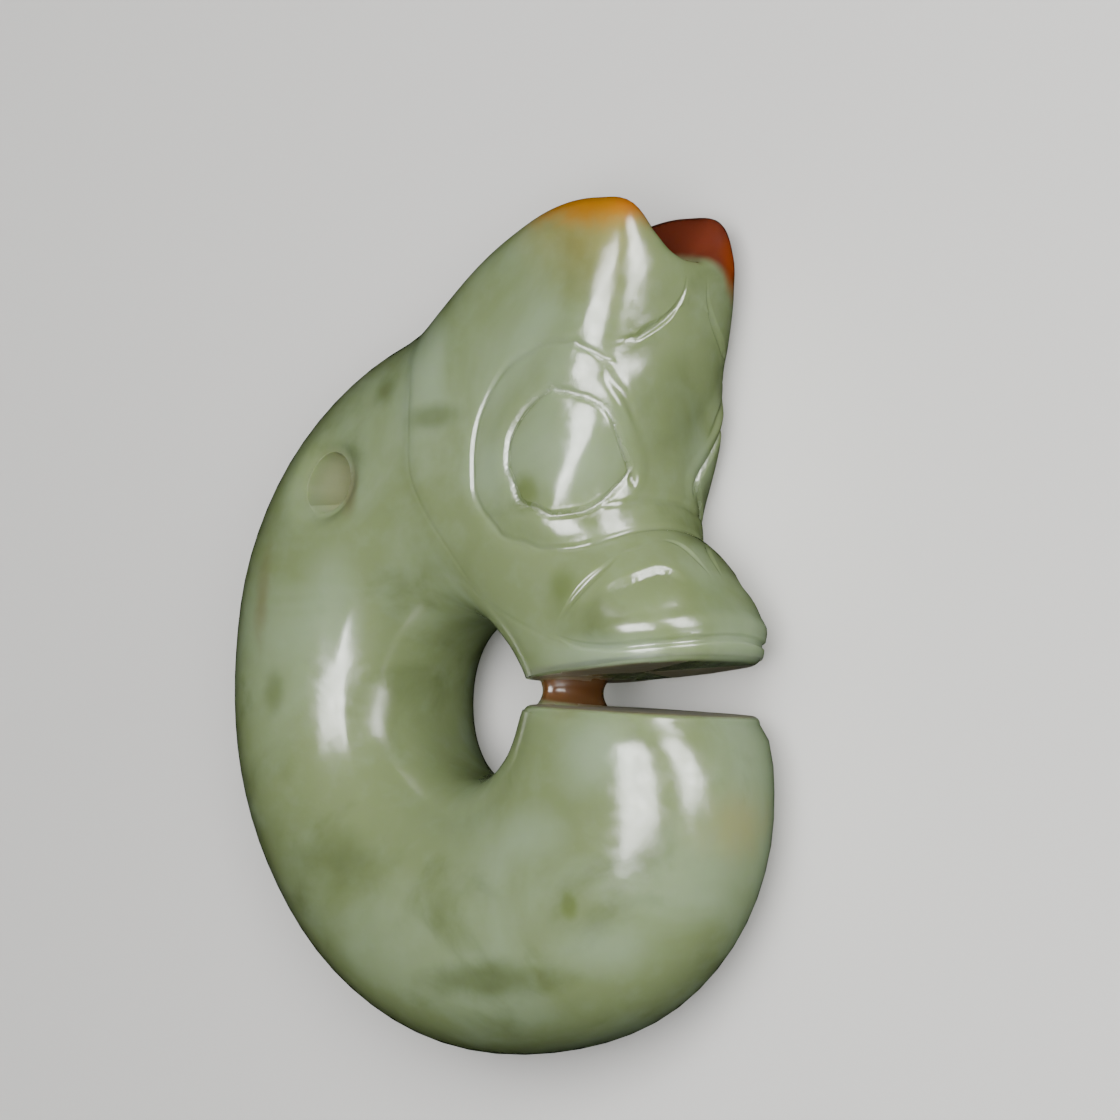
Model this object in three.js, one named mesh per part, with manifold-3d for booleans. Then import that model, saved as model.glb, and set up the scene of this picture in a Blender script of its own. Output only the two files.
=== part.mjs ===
// Jade pig dragon: one carved stone, curled like a C, with the tail almost touching the jaw.
// It lies on its left flank at Z = 0. The snout points to +X and the ears to +Y, and the
// axis of the curl is parallel to Z. All lengths are in millimetres.
//
// A place on the carving is given by two angles. The turn goes round the curl: 0 is the
// slit below the jaw, 90 the underside, 180 the back and 270 the crown. The around angle
// goes round the cross-section: 0 is the outer edge, 90 the right flank, 180 the eye of
// the curl and 270 the left flank.
import * as THREE from 'three';
import { mergeVertices } from 'three/addons/utils/BufferGeometryUtils.js';
import Module from 'manifold-3d';

const wasm = await Module();
wasm.setup();

// Driving sizes
const HEIGHT = 73.7;             // underside of the curl to the ear tips
const THICKNESS = 22.8;          // through the fullest part of the curl, flank to flank
const CURL_EYE = 14.6;           // opening inside the curl, across
const SLIT_INNER = 2.2;          // gap between jaw and tail at the eye of the curl
const SLIT_OUTER = 4.4;          // the same gap at the lips
const SLIT_EDGE = 0.7;           // rounding of the edges along the slit
const WEB_WAIST = 3.0;           // stone left standing in the slit, across its waist
const WEB_WIDTH = 8.0;           // the same web, measured through the thickness
const WEB_OFFSET = 2.0;          // the web stands nearer the right flank
const CORD_HOLE_WAIST = 2.8;     // drilled from both flanks, narrow in the middle
const CORD_HOLE_MOUTH = 6.4;
const GROOVE_WIDTH = 1.2;        // carved lines
const GROOVE_DEPTH = 0.45;
const REST_TRIM = 0.25;          // taken off the fullest bulges of the flank it lies on

// The free form is given in shares of the height
const UNITS_HIGH = 73.8;
const UNIT = HEIGHT / UNITS_HIGH;
const HALF = THICKNESS / 2;
const EYE = CURL_EYE / 2;
const degrees = THREE.MathUtils.degToRad;

// A smooth curve through [turn, value] pairs
function profile(pairs) {
  const turns = pairs.map(([turn]) => turn);
  const values = pairs.map(([, value]) => value);
  const curve = new THREE.CubicInterpolant(turns, values, 1);
  return (turn) => curve.evaluate(turn)[0];
}

// Wall of the curl's eye, as shares of its radius
const innerWall = profile([
  [0, 0.95], [20, 0.88], [45, 0.9], [90, 0.98], [180, 1.0], [240, 0.98],
  [285, 0.9], [315, 0.86], [335, 0.88], [360, 0.94],
]);

// Outer edge in the middle plane, in units: tail, underside, back, valley between the
// ears, forehead, bridge of the nose, snout and lip
const outerEdge = profile([
  [0, 22.8], [6, 24.1], [12, 25.7], [20, 27.3], [32, 29.6], [45, 31.4], [60, 32.3],
  [80, 31.8], [100, 31.1], [120, 29.7], [145, 27.8], [170, 27.2], [190, 27.7],
  [210, 29.6], [230, 31.6], [250, 33.1], [262, 33.8], [274, 34.9], [285, 37.2],
  [291.5, 39.2], [296, 41.1], [299.4, 42.2], [302, 39.1], [304.4, 36.4], [307, 33.3],
  [309.5, 29.9], [312, 27.0], [315, 25.0], [319, 23.8], [325, 23.7], [332, 24.2],
  [340, 24.9], [348.5, 25.3], [352, 25.2], [355, 24.8], [360, 24.2],
]);

// Radius where each section is thickest, in units
const thickestAt = profile([
  [0, 15.4], [6, 15.8], [45, 17.5], [90, 19.0], [135, 18.2], [180, 17.2], [225, 18.2],
  [262, 18.0], [300, 15.5], [330, 14.8], [360, 15.4],
]);

// Half thickness, as shares of the fullest one
const flankShare = profile([
  [0, 0.89], [15, 0.95], [45, 0.99], [90, 1.0], [135, 0.99], [180, 0.98], [225, 0.95],
  [255, 0.93], [275, 0.95], [300, 0.95], [320, 0.94], [340, 0.9], [360, 0.85],
]);

// How square the section is: 2 is an ellipse, more is boxier
const outerSquareness = profile([
  [0, 2.5], [30, 2.3], [90, 2.2], [180, 2.15], [240, 2.2], [262, 2.4], [280, 2.9],
  [299, 3.3], [306, 2.9], [312, 2.3], [318, 2.1], [325, 2.1], [335, 2.3], [345, 2.6],
  [360, 2.8],
]);
const innerSquareness = profile([
  [0, 3.3], [30, 2.8], [90, 2.3], [180, 2.3], [260, 2.5], [300, 3.2], [360, 3.4],
]);

// Rise of the ears above the outer edge, in units, at EAR_CREST degrees around
const earRise = profile([
  [0, 0], [200, 0], [250, 0], [258, 0.1], [262, 0.8], [268, 2.9], [274, 5.4],
  [278, 6.9], [285, 9.0], [290, 9.1], [294, 8.0], [297, 4.4], [298.5, 1.6],
  [300, -0.3], [303, -1.0], [308, -0.3], [312, 0], [330, 0], [360, 0],
]);
const EAR_CREST = 45;
const EAR_FOOT = 107;
const NOTCH_FLOOR = 5;

// Bulges on both flanks: centre, half axes and rise in units. A low edge power gives a
// bulge that stands up at its edge, a high one a bulge that runs out softly.
const EYEBALL = { x: 12.6, y: 20.0, alongX: 4.6, alongY: 5.1, rise: 0.5, edge: 0.5 };
const MUZZLE = { x: 18.6, y: 6.9, alongX: 6.6, alongY: 5.2, rise: 0.6, edge: 1.5 };

// The curl runs from the tail's end face to the jaw's. The faces are flat, square to the
// middle plane but for the slant of the saw cut.
const TAIL_TURN = 6;
const JAW_TURN = 355;
const FACE_REACH = 14;
const SAW_SLANT = 0.03;
const faceRadius = EYE + 1.5 * UNIT;
const lipRadius = outerEdge(0) * UNIT;
const slitSpread = (SLIT_OUTER - SLIT_INNER) / 2 / (lipRadius - faceRadius);

function faceHeight(side, radius, z) {
  const spread = side < 0 ? 1.2 * slitSpread : 0.8 * slitSpread;
  return side * (SLIT_INNER / 2 + spread * (radius - faceRadius)) - SAW_SLANT * z;
}

// Point of the surface. inset moves the section's outline inwards, shrink draws it
// together on its middle and level lifts an end face back from the slit.
function surfacePoint(turn, around, { inset = 0, shrink = 1, level = 0 } = {}) {
  const cos = Math.cos(degrees(around));
  const sin = Math.sin(degrees(around));
  const middle = thickestAt(turn) * UNIT;
  const outer = cos > 0;
  const reach = outer ? outerEdge(turn) * UNIT - middle : middle - innerWall(turn) * EYE;
  const power = outer ? outerSquareness(turn) : innerSquareness(turn);
  const scale = (Math.abs(cos) ** power + Math.abs(sin) ** power) ** (-1 / power) * shrink;
  const fold = Math.abs(THREE.MathUtils.euclideanModulo(around + 180, 360) - 180);
  const crest = earRise(turn) * earShape(fold) * UNIT * shrink;
  const radius = middle + (reach - inset) * scale * cos + crest;
  const z = (flankShare(turn) * HALF - inset) * scale * sin;
  const angle = sweepAngle(turn, radius, z, level);
  const point = new THREE.Vector3(radius * Math.cos(angle), radius * Math.sin(angle), z);
  point.z += Math.sign(z) * (bulge(EYEBALL, point) + bulge(MUZZLE, point)) * UNIT;
  return point;
}

// 0 on the notch's floor, 1 on the ear's crest, back to 0 at the ear's foot
function earShape(fold) {
  if (fold < EAR_CREST) {
    const up = Math.max(0, (fold - NOTCH_FLOOR) / (EAR_CREST - NOTCH_FLOOR));
    return Math.sin(up * Math.PI / 2) ** 1.3;
  }
  const down = Math.min(1, (fold - EAR_CREST) / (EAR_FOOT - EAR_CREST));
  return 0.5 + 0.5 * Math.cos(Math.PI * down);
}

function bulge({ x, y, alongX, alongY, rise, edge }, point) {
  const share = ((point.x / UNIT - x) / alongX) ** 2 + ((point.y / UNIT - y) / alongY) ** 2;
  return rise * Math.max(0, 1 - share) ** edge * Math.min(1, Math.abs(point.z) / HALF);
}

// Angle of a point round the curl. Near the slit it runs over into the flat end face.
function sweepAngle(turn, radius, z, level) {
  const nearTail = turn < TAIL_TURN + FACE_REACH;
  const end = nearTail ? TAIL_TURN : JAW_TURN;
  const side = nearTail ? -1 : 1;
  const closeness = Math.max(0, 1 - Math.abs(turn - end) / FACE_REACH);
  const face = Math.asin((faceHeight(side, radius, z) + side * level) / radius);
  const round = -degrees(nearTail ? turn : turn - 360);
  const ahead = -degrees(nearTail ? end : end - 360);
  return round + closeness * (face - ahead);
}

// Rows of the skin: both end faces from their middle out, their rounded edges, and the
// stations along the curl, closer together on the head
function skinRows() {
  const edgeSteps = [0, 30, 60];
  const faceSteps = [0.35, 0.75];
  const end = (turn) => [
    ...faceSteps.map((shrink) => ({ turn, inset: SLIT_EDGE, shrink })),
    ...edgeSteps.map((step) => ({
      turn,
      inset: SLIT_EDGE * (1 - Math.sin(degrees(step))),
      level: SLIT_EDGE * (1 - Math.cos(degrees(step))),
    })),
  ];
  const rows = end(TAIL_TURN);
  const bodySteps = 30;
  const headSteps = 42;
  const headStart = 262;
  for (let i = 0; i < bodySteps; i += 1) {
    const turn = THREE.MathUtils.lerp(TAIL_TURN, headStart, i / bodySteps);
    rows.push({ turn, level: i === 0 ? SLIT_EDGE : 0 });
  }
  for (let i = 0; i <= headSteps; i += 1) {
    const turn = THREE.MathUtils.lerp(headStart, JAW_TURN, i / headSteps);
    rows.push({ turn, level: i === headSteps ? SLIT_EDGE : 0 });
  }
  return [...rows, ...end(JAW_TURN).reverse()];
}

// Closed skin over rows of points: a ring, or a bar with a fan on each end
function skinOver(rows, { ring = false } = {}) {
  const count = rows[0].length;
  const points = rows.flat();
  const total = points.length;
  const faces = [];
  for (let row = 0; row < rows.length - (ring ? 0 : 1); row += 1) {
    for (let i = 0; i < count; i += 1) {
      const a = row * count + i;
      const b = row * count + ((i + 1) % count);
      const [c, d] = [(a + count) % total, (b + count) % total];
      faces.push(a, b, c, b, d, c);
    }
  }
  const ends = ring ? [] : [0, rows.length - 1];
  for (const row of ends) {
    const centre = new THREE.Vector3();
    rows[row].forEach((point) => centre.addScaledVector(point, 1 / count));
    const hub = points.push(centre) - 1;
    for (let i = 0; i < count; i += 1) {
      const a = row * count + i;
      const b = row * count + ((i + 1) % count);
      faces.push(...(row > 0 ? [hub, a, b] : [hub, b, a]));
    }
  }
  const geometry = new THREE.BufferGeometry().setFromPoints(points);
  geometry.setIndex(faces);
  return geometry;
}

function curlSkin() {
  const aroundSteps = 32;
  const rows = skinRows().map(({ turn, ...shape }) =>
    Array.from({ length: aroundSteps }, (_, i) =>
      surfacePoint(turn, 360 * i / aroundSteps, shape)));
  return skinOver(rows);
}

// Solids for cutting and joining
function solid(geometry) {
  const bare = geometry.clone();
  bare.deleteAttribute('normal');
  bare.deleteAttribute('uv');
  const merged = mergeVertices(bare, 1e-4);
  const index = merged.index.array.slice();
  const place = merged.attributes.position;
  let volume = 0;
  const [a, b, c] = [new THREE.Vector3(), new THREE.Vector3(), new THREE.Vector3()];
  for (let i = 0; i < index.length; i += 3) {
    a.fromBufferAttribute(place, index[i]);
    b.fromBufferAttribute(place, index[i + 1]);
    c.fromBufferAttribute(place, index[i + 2]);
    volume += a.dot(b.cross(c));
  }
  if (volume < 0) index.reverse();
  const vertProperties = new Float32Array(place.array);
  const triVerts = new Uint32Array(index);
  return new wasm.Manifold(new wasm.Mesh({ numProp: 3, vertProperties, triVerts }));
}

function surfaceNormal(turn, around) {
  const step = 0.5;
  const along = surfacePoint(turn + step, around).sub(surfacePoint(turn - step, around));
  const across = surfacePoint(turn, around + step).sub(surfacePoint(turn, around - step));
  return across.cross(along).normalize();
}

// A V-shaped cutter swept along a carved line, which runs out to nothing at open ends.
// weight is the share of the full groove that a fainter line has.
function grooveCutter(places, { closed = false, side = 1, weight = 1, spacing = 2.2 } = {}) {
  const path = new THREE.CatmullRomCurve3(
    places.map(([turn, around]) => new THREE.Vector3(turn, side * around, 0)),
    closed,
    'centripetal',
  );
  const onSkin = (t) => {
    const { x: turn, y: around } = path.getPoint(t);
    return { point: surfacePoint(turn, around), normal: surfaceNormal(turn, around) };
  };
  const probes = Array.from({ length: 65 }, (_, i) => onSkin(i / 64).point);
  const length = probes.slice(1).reduce((sum, p, i) => sum + p.distanceTo(probes[i]), 0);
  const steps = Math.max(4, Math.round(length / spacing));
  const lift = 0.6;
  const rows = [];
  for (let i = 0; i < steps + (closed ? 0 : 1); i += 1) {
    const t = i / steps;
    const { point, normal } = onSkin(t);
    const before = onSkin(closed ? (t - 0.01 + 1) % 1 : Math.max(0, t - 0.01)).point;
    const after = onSkin(closed ? (t + 0.01) % 1 : Math.min(1, t + 0.01)).point;
    const aside = after.sub(before).cross(normal).normalize();
    const fade = closed ? 1 : Math.min(1, 0.2 + 2.4 * Math.sin(Math.PI * t));
    const depth = GROOVE_DEPTH * weight * fade;
    const half = GROOVE_WIDTH / 2 * Math.sqrt(weight) * fade * (1 + lift / depth);
    rows.push([
      point.clone().addScaledVector(normal, lift).addScaledVector(aside, half),
      point.clone().addScaledVector(normal, -depth),
      point.clone().addScaledVector(normal, lift).addScaledVector(aside, -half),
    ]);
  }
  return solid(skinOver(rows, { ring: closed }));
}

// Carved lines as [turn, around] pairs on the right flank
const EYE_RIM = [
  [298.7, 65], [301.3, 58], [305.7, 47.5], [309, 39], [312.8, 27.5], [314.3, 35],
  [315.4, 44], [314.8, 55.5], [311, 71], [305.1, 79], [299.3, 82.5], [294.5, 84],
  [292.1, 81], [292.9, 77.5], [295.4, 72.5],
];
const BROW = [[301.1, 50.5], [302.6, 46.5], [305.9, 40], [308.4, 32.5], [310.4, 24]];
const EAR_EDGE = [[301.1, 46.5], [302.6, 36], [303, 30.5], [302.6, 19], [301.3, 9.5], [299.9, 7.5]];
const HEAD_BACK = [
  [263.8, 36], [262.9, 49.5], [263.6, 62], [263.4, 73.5], [263.3, 88], [269.4, 104.5],
  [281.5, 118.5], [299.7, 126.5], [324, 119.5], [340.6, 105],
];
const MUZZLE_ARCH = [
  [338.7, 95], [334.8, 78.5], [332.3, 66.5], [330.2, 54.5], [328.2, 45], [327.4, 34],
  [327.2, 24], [327.8, 16], [329.3, 11], [331.8, 8], [334.8, 6.2], [338, 4.8],
];
const NOSTRIL = [
  [336.8, 64.5], [335.8, 55], [335.3, 45], [334.8, 35], [335, 30], [336.6, 26], [339.7, 23],
];

// Carved lines that run across the face from flank to flank
const EYE_RING = [
  [304, 40], [301.3, 49], [298.5, 57.5], [295.1, 65], [290.2, 69], [286.1, 72], [283.3, 77],
  [282.4, 81.5], [283.4, 85.5], [286.1, 90], [289.5, 93], [294, 94], [300, 91.5],
  [306.5, 88], [313.3, 82.5], [317.8, 74.5], [320.1, 65], [321.5, 54.5], [322.3, 42],
  [322.6, 27], [322.7, 12],
];
const NOSE_CREASE = [[315.6, 46], [316.6, 36.5], [317.2, 28], [317.4, 14]];
const MOUTH = [
  [341.5, 99], [347, 87.5], [349.2, 78], [350.4, 68], [350.8, 55], [350.9, 40], [350.8, 27],
  [350.4, 8],
];

const acrossFace = (places) => [
  ...places,
  [places.at(-1)[0], 0],
  ...[...places].reverse().map(([turn, around]) => [turn, -around]),
];

function carvedLines() {
  const cutters = [];
  for (const side of [1, -1]) {
    cutters.push(
      grooveCutter(EYE_RIM, { closed: true, side }),
      grooveCutter(BROW, { side }),
      grooveCutter(EAR_EDGE, { side }),
      grooveCutter(HEAD_BACK, { side, weight: 0.6, spacing: 3 }),
      grooveCutter(MUZZLE_ARCH, { side }),
      grooveCutter(NOSTRIL, { side }),
    );
  }
  for (const places of [EYE_RING, NOSE_CREASE, MOUTH]) {
    cutters.push(grooveCutter(acrossFace(places)));
  }
  return cutters;
}

// The web left standing in the slit: a waisted post, long through the thickness
function slitWeb() {
  const flare = 1.35;
  const sink = 0.6;
  const reach = SLIT_INNER / 2 + sink;
  const outline = [new THREE.Vector2(0, -reach)];
  const steps = 6;
  for (let i = 0; i <= steps; i += 1) {
    const y = THREE.MathUtils.lerp(-reach, reach, i / steps);
    outline.push(new THREE.Vector2(WEB_WAIST / 2 * (1 + (flare - 1) * (y / reach) ** 2), y));
  }
  outline.push(new THREE.Vector2(0, reach));
  const web = new THREE.LatheGeometry(outline, 20);
  web.scale(1, 1, WEB_WIDTH / WEB_WAIST);
  web.translate(innerWall(0) * EYE + WEB_WAIST / 2 * flare, 0, WEB_OFFSET);
  return solid(web);
}

// The cord hole through the nape, drilled from both flanks to meet in the middle
const CORD_HOLE_TURN = 236.8;
const CORD_HOLE_RADIUS = 23;

function cordHole() {
  const reach = HALF + 1;
  const outline = [
    new THREE.Vector2(0, -reach),
    new THREE.Vector2(CORD_HOLE_MOUTH / 2, -reach),
    new THREE.Vector2(CORD_HOLE_WAIST / 2, 0),
    new THREE.Vector2(CORD_HOLE_MOUTH / 2, reach),
    new THREE.Vector2(0, reach),
  ];
  const drill = new THREE.LatheGeometry(outline, 24);
  drill.rotateX(Math.PI / 2);
  const angle = -degrees(CORD_HOLE_TURN);
  const radius = CORD_HOLE_RADIUS * UNIT;
  drill.translate(radius * Math.cos(angle), radius * Math.sin(angle), 0);
  return solid(drill);
}

// Everything below the plane that the carving rests on
function belowRest() {
  const slab = new THREE.BoxGeometry(2 * HEIGHT, 2 * HEIGHT, HEIGHT);
  slab.translate(0, 0, -HALF + REST_TRIM - HEIGHT / 2);
  return solid(slab);
}

function carve() {
  let stone = solid(curlSkin()).add(slitWeb()).subtract(cordHole());
  for (const cutter of carvedLines()) stone = stone.subtract(cutter);
  const { vertProperties, triVerts } = stone.subtract(belowRest()).getMesh();
  const geometry = new THREE.BufferGeometry();
  geometry.setAttribute('position', new THREE.BufferAttribute(vertProperties, 3));
  geometry.setIndex(new THREE.BufferAttribute(triVerts, 1));
  geometry.computeBoundingBox();
  const { min, max } = geometry.boundingBox;
  geometry.translate(-(min.x + max.x) / 2, -(min.y + max.y) / 2, -min.z);
  geometry.computeVertexNormals();
  return geometry;
}

const jade = new THREE.MeshStandardMaterial({
  name: 'jade',
  color: 0x93a07c,
  roughness: 0.22,
  metalness: 0,
});

const pigDragon = new THREE.Mesh(carve(), jade);
pigDragon.name = 'pig_dragon';

const carving = new THREE.Group();
carving.add(pigDragon);
export default carving;
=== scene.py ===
"""Looks of the jade pig dragon: the carved, polished stone, its colours and its studio."""

import logging
import math
from collections.abc import Callable, Sequence
from dataclasses import dataclass
from enum import Enum

import bpy
import numpy as np
from mathutils import Matrix, Vector


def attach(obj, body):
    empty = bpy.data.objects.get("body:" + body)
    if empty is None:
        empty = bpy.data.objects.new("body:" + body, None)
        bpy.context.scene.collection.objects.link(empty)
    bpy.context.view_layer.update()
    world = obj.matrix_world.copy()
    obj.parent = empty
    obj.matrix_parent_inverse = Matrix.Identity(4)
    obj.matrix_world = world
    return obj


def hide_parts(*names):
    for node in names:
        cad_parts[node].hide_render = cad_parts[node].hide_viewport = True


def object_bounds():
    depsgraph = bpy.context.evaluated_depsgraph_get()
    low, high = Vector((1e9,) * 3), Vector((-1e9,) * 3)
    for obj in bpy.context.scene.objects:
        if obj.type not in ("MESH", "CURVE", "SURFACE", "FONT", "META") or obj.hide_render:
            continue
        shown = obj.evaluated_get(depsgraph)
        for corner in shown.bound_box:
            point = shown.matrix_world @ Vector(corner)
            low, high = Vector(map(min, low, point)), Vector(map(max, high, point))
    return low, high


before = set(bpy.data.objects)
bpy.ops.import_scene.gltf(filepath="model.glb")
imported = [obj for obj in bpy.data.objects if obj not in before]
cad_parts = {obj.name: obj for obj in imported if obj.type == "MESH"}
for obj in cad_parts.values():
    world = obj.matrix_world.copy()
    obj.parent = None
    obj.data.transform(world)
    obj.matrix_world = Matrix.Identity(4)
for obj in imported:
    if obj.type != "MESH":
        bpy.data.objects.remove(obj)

CAD_LOW, CAD_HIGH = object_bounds()

MM = 0.001
FAR = 99.0  # in millimetres, farther than anything on the stone
MARGIN = 0.8  # in millimetres, beyond a line's own width, where points still count
TINY = 1e-12
STONE_NODE = "pig_dragon"
LOG = logging.getLogger("jade")

Array = np.ndarray
Place = tuple[float, float]
Colour = tuple[float, float, float]
Socket = bpy.types.NodeSocket


def smooth_step(value: Array) -> Array:
    """Ease a share from 0 to 1, level at both ends."""
    share = np.clip(value, 0.0, 1.0)
    return share * share * (3.0 - 2.0 * share)


@dataclass(frozen=True)
class SmoothCurve:
    """A smooth curve through (turn, value) pairs.

    Args:
        pairs: The pairs, in the order of their turns.
    """

    pairs: tuple[Place, ...]

    def __call__(self, turn: Array) -> Array:
        """Value at each turn, with every slope taken from the neighbouring pairs.

        Args:
            turn: The turns, in degrees.

        Returns:
            One value for each of them.
        """
        turns, values = (np.array(column, float) for column in zip(*self.pairs))
        steps = np.diff(values) / np.diff(turns)
        slopes = np.concatenate([steps[:1], (steps[1:] + steps[:-1]) / 2.0, steps[-1:]])
        first = np.clip(np.searchsorted(turns, turn, side="right") - 1, 0, len(turns) - 2)
        span = turns[first + 1] - turns[first]
        share = (turn - turns[first]) / span
        rest = 1.0 - share
        return (
            values[first] * (1.0 + 2.0 * share) * rest**2
            + values[first + 1] * (3.0 - 2.0 * share) * share**2
            + slopes[first] * span * share * rest**2
            - slopes[first + 1] * span * share**2 * rest
        )


@dataclass(frozen=True)
class Bulge:
    """A low dome on both flanks, in units of the curl.

    Args:
        x: Centre along the snout's direction.
        y: Centre along the ears' direction.
        along_x: Half axis along x.
        along_y: Half axis along y.
        rise: Height over the flank.
        edge: Power of its edge: below 1 it stands up there, above 1 it runs out softly.
    """

    x: float
    y: float
    along_x: float
    along_y: float
    rise: float
    edge: float

    def height(self, points: Array, half: float) -> Array:
        """Rise over the flank at each point.

        Args:
            points: Points of the surface, in units of the curl.
            half: Half the thickness, in the same units.

        Returns:
            The rises, in units.
        """
        share = ((points[:, 0] - self.x) / self.along_x) ** 2
        share += ((points[:, 1] - self.y) / self.along_y) ** 2
        flank = np.minimum(1.0, np.abs(points[:, 2]) / half)
        return self.rise * np.clip(1.0 - share, 0.0, None) ** self.edge * flank


@dataclass(frozen=True)
class Curl:
    """The carving's free form, without its carved lines.

    A place on it is a turn round the curl (0 at the slit, 90 below, 180 behind and 270 at
    the crown) and an angle around the section (0 outside, 90 on the right flank, 180 in
    the curl's eye and 270 on the left flank). Lengths are in millimetres, and the curves
    of the outer edge, the fullest place and the ears are in units of the height.

    Args:
        height: From the underside of the curl to the ear tips.
        units_high: Units in that height.
        thickness: Through the fullest part, flank to flank.
        curl_eye: Width of the opening that the body curls round.
        slit_inner: Width of the slit at the curl's eye.
        slit_outer: Its width at the lips.
        slit_start: How far outside the curl's eye it starts to widen, in units.
        tail_spread: How fast the tail's face falls back from it, as a share of the even slope.
        jaw_spread: The same for the jaw's face.
        rest_trim: What is trimmed off the fullest flank that it lies on.
        tail_turn: Turn at which the tail ends.
        jaw_turn: Turn at which the jaw ends.
        face_reach: Degrees over which the body runs over into an end face.
        saw_slant: Slope of the slit through the thickness.
        ear_crest: Degrees around the section to the ear's crest.
        ear_foot: Degrees to the ear's foot on the flank.
        ear_hollow: Hollowness of the ear's inner side.
        notch_floor: Half the width of the valley between the ears, in degrees.
    """

    height: float
    units_high: float = 73.8
    thickness: float = 22.8
    curl_eye: float = 14.6
    slit_inner: float = 2.2
    slit_outer: float = 4.4
    slit_start: float = 1.5
    tail_spread: float = 1.2
    jaw_spread: float = 0.8
    rest_trim: float = 0.25
    tail_turn: float = 6.0
    jaw_turn: float = 355.0
    face_reach: float = 14.0
    saw_slant: float = 0.03
    ear_crest: float = 45.0
    ear_foot: float = 107.0
    ear_hollow: float = 1.3
    notch_floor: float = 5.0

    inner_wall = SmoothCurve((
        (0, 0.95), (20, 0.88), (45, 0.9), (90, 0.98), (180, 1.0), (240, 0.98),
        (285, 0.9), (315, 0.86), (335, 0.88), (360, 0.94),
    ))
    outer_edge = SmoothCurve((
        (0, 22.8), (6, 24.1), (12, 25.7), (20, 27.3), (32, 29.6), (45, 31.4), (60, 32.3),
        (80, 31.8), (100, 31.1), (120, 29.7), (145, 27.8), (170, 27.2), (190, 27.7),
        (210, 29.6), (230, 31.6), (250, 33.1), (262, 33.8), (274, 34.9), (285, 37.2),
        (291.5, 39.2), (296, 41.1), (299.4, 42.2), (302, 39.1), (304.4, 36.4), (307, 33.3),
        (309.5, 29.9), (312, 27.0), (315, 25.0), (319, 23.8), (325, 23.7), (332, 24.2),
        (340, 24.9), (348.5, 25.3), (352, 25.2), (355, 24.8), (360, 24.2),
    ))
    thickest_at = SmoothCurve((
        (0, 15.4), (6, 15.8), (45, 17.5), (90, 19.0), (135, 18.2), (180, 17.2), (225, 18.2),
        (262, 18.0), (300, 15.5), (330, 14.8), (360, 15.4),
    ))
    flank_share = SmoothCurve((
        (0, 0.89), (15, 0.95), (45, 0.99), (90, 1.0), (135, 0.99), (180, 0.98), (225, 0.95),
        (255, 0.93), (275, 0.95), (300, 0.95), (320, 0.94), (340, 0.9), (360, 0.85),
    ))
    outer_squareness = SmoothCurve((
        (0, 2.5), (30, 2.3), (90, 2.2), (180, 2.15), (240, 2.2), (262, 2.4), (280, 2.9),
        (299, 3.3), (306, 2.9), (312, 2.3), (318, 2.1), (325, 2.1), (335, 2.3), (345, 2.6),
        (360, 2.8),
    ))
    inner_squareness = SmoothCurve((
        (0, 3.3), (30, 2.8), (90, 2.3), (180, 2.3), (260, 2.5), (300, 3.2), (360, 3.4),
    ))
    ear_rise = SmoothCurve((
        (0, 0), (200, 0), (250, 0), (258, 0.1), (262, 0.8), (268, 2.9), (274, 5.4),
        (278, 6.9), (285, 9.0), (290, 9.1), (294, 8.0), (297, 4.4), (298.5, 1.6),
        (300, -0.3), (303, -1.0), (308, -0.3), (312, 0), (330, 0), (360, 0),
    ))
    muzzle = Bulge(x=18.6, y=6.9, along_x=6.6, along_y=5.2, rise=0.6, edge=1.5)

    @property
    def unit(self) -> float:
        """One share of the height, in which the free form is given."""
        return self.height / self.units_high

    @property
    def half(self) -> float:
        """Half the thickness."""
        return self.thickness / 2.0

    def face_height(self, side: Array, radius: Array, z: Array) -> Array:
        """Height of an end face over the curl's middle.

        Args:
            side: 1 for the jaw's face and -1 for the tail's.
            radius: Distance from the curl's axis.
            z: Height through the thickness.

        Returns:
            The heights, along Y.
        """
        inner = self.curl_eye / 2.0 + self.slit_start * self.unit
        lip = self.outer_edge(np.zeros(1))[0] * self.unit
        spread = (self.slit_outer - self.slit_inner) / 2.0 / (lip - inner)
        spread = np.where(side < 0, self.tail_spread, self.jaw_spread) * spread
        return side * (self.slit_inner / 2.0 + spread * (radius - inner)) - self.saw_slant * z

    def ear_shape(self, fold: Array) -> Array:
        """How far up the ear each place is.

        Args:
            fold: Degrees around the section from its outer edge.

        Returns:
            0 on the notch's floor, 1 on the ear's crest, and 0 again at the ear's foot.
        """
        up = np.clip((fold - self.notch_floor) / (self.ear_crest - self.notch_floor), 0.0, 1.0)
        down = np.clip((fold - self.ear_crest) / (self.ear_foot - self.ear_crest), 0.0, 1.0)
        inside = np.sin(up * math.pi / 2.0) ** self.ear_hollow
        return np.where(fold < self.ear_crest, inside, 0.5 + 0.5 * np.cos(math.pi * down))

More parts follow.
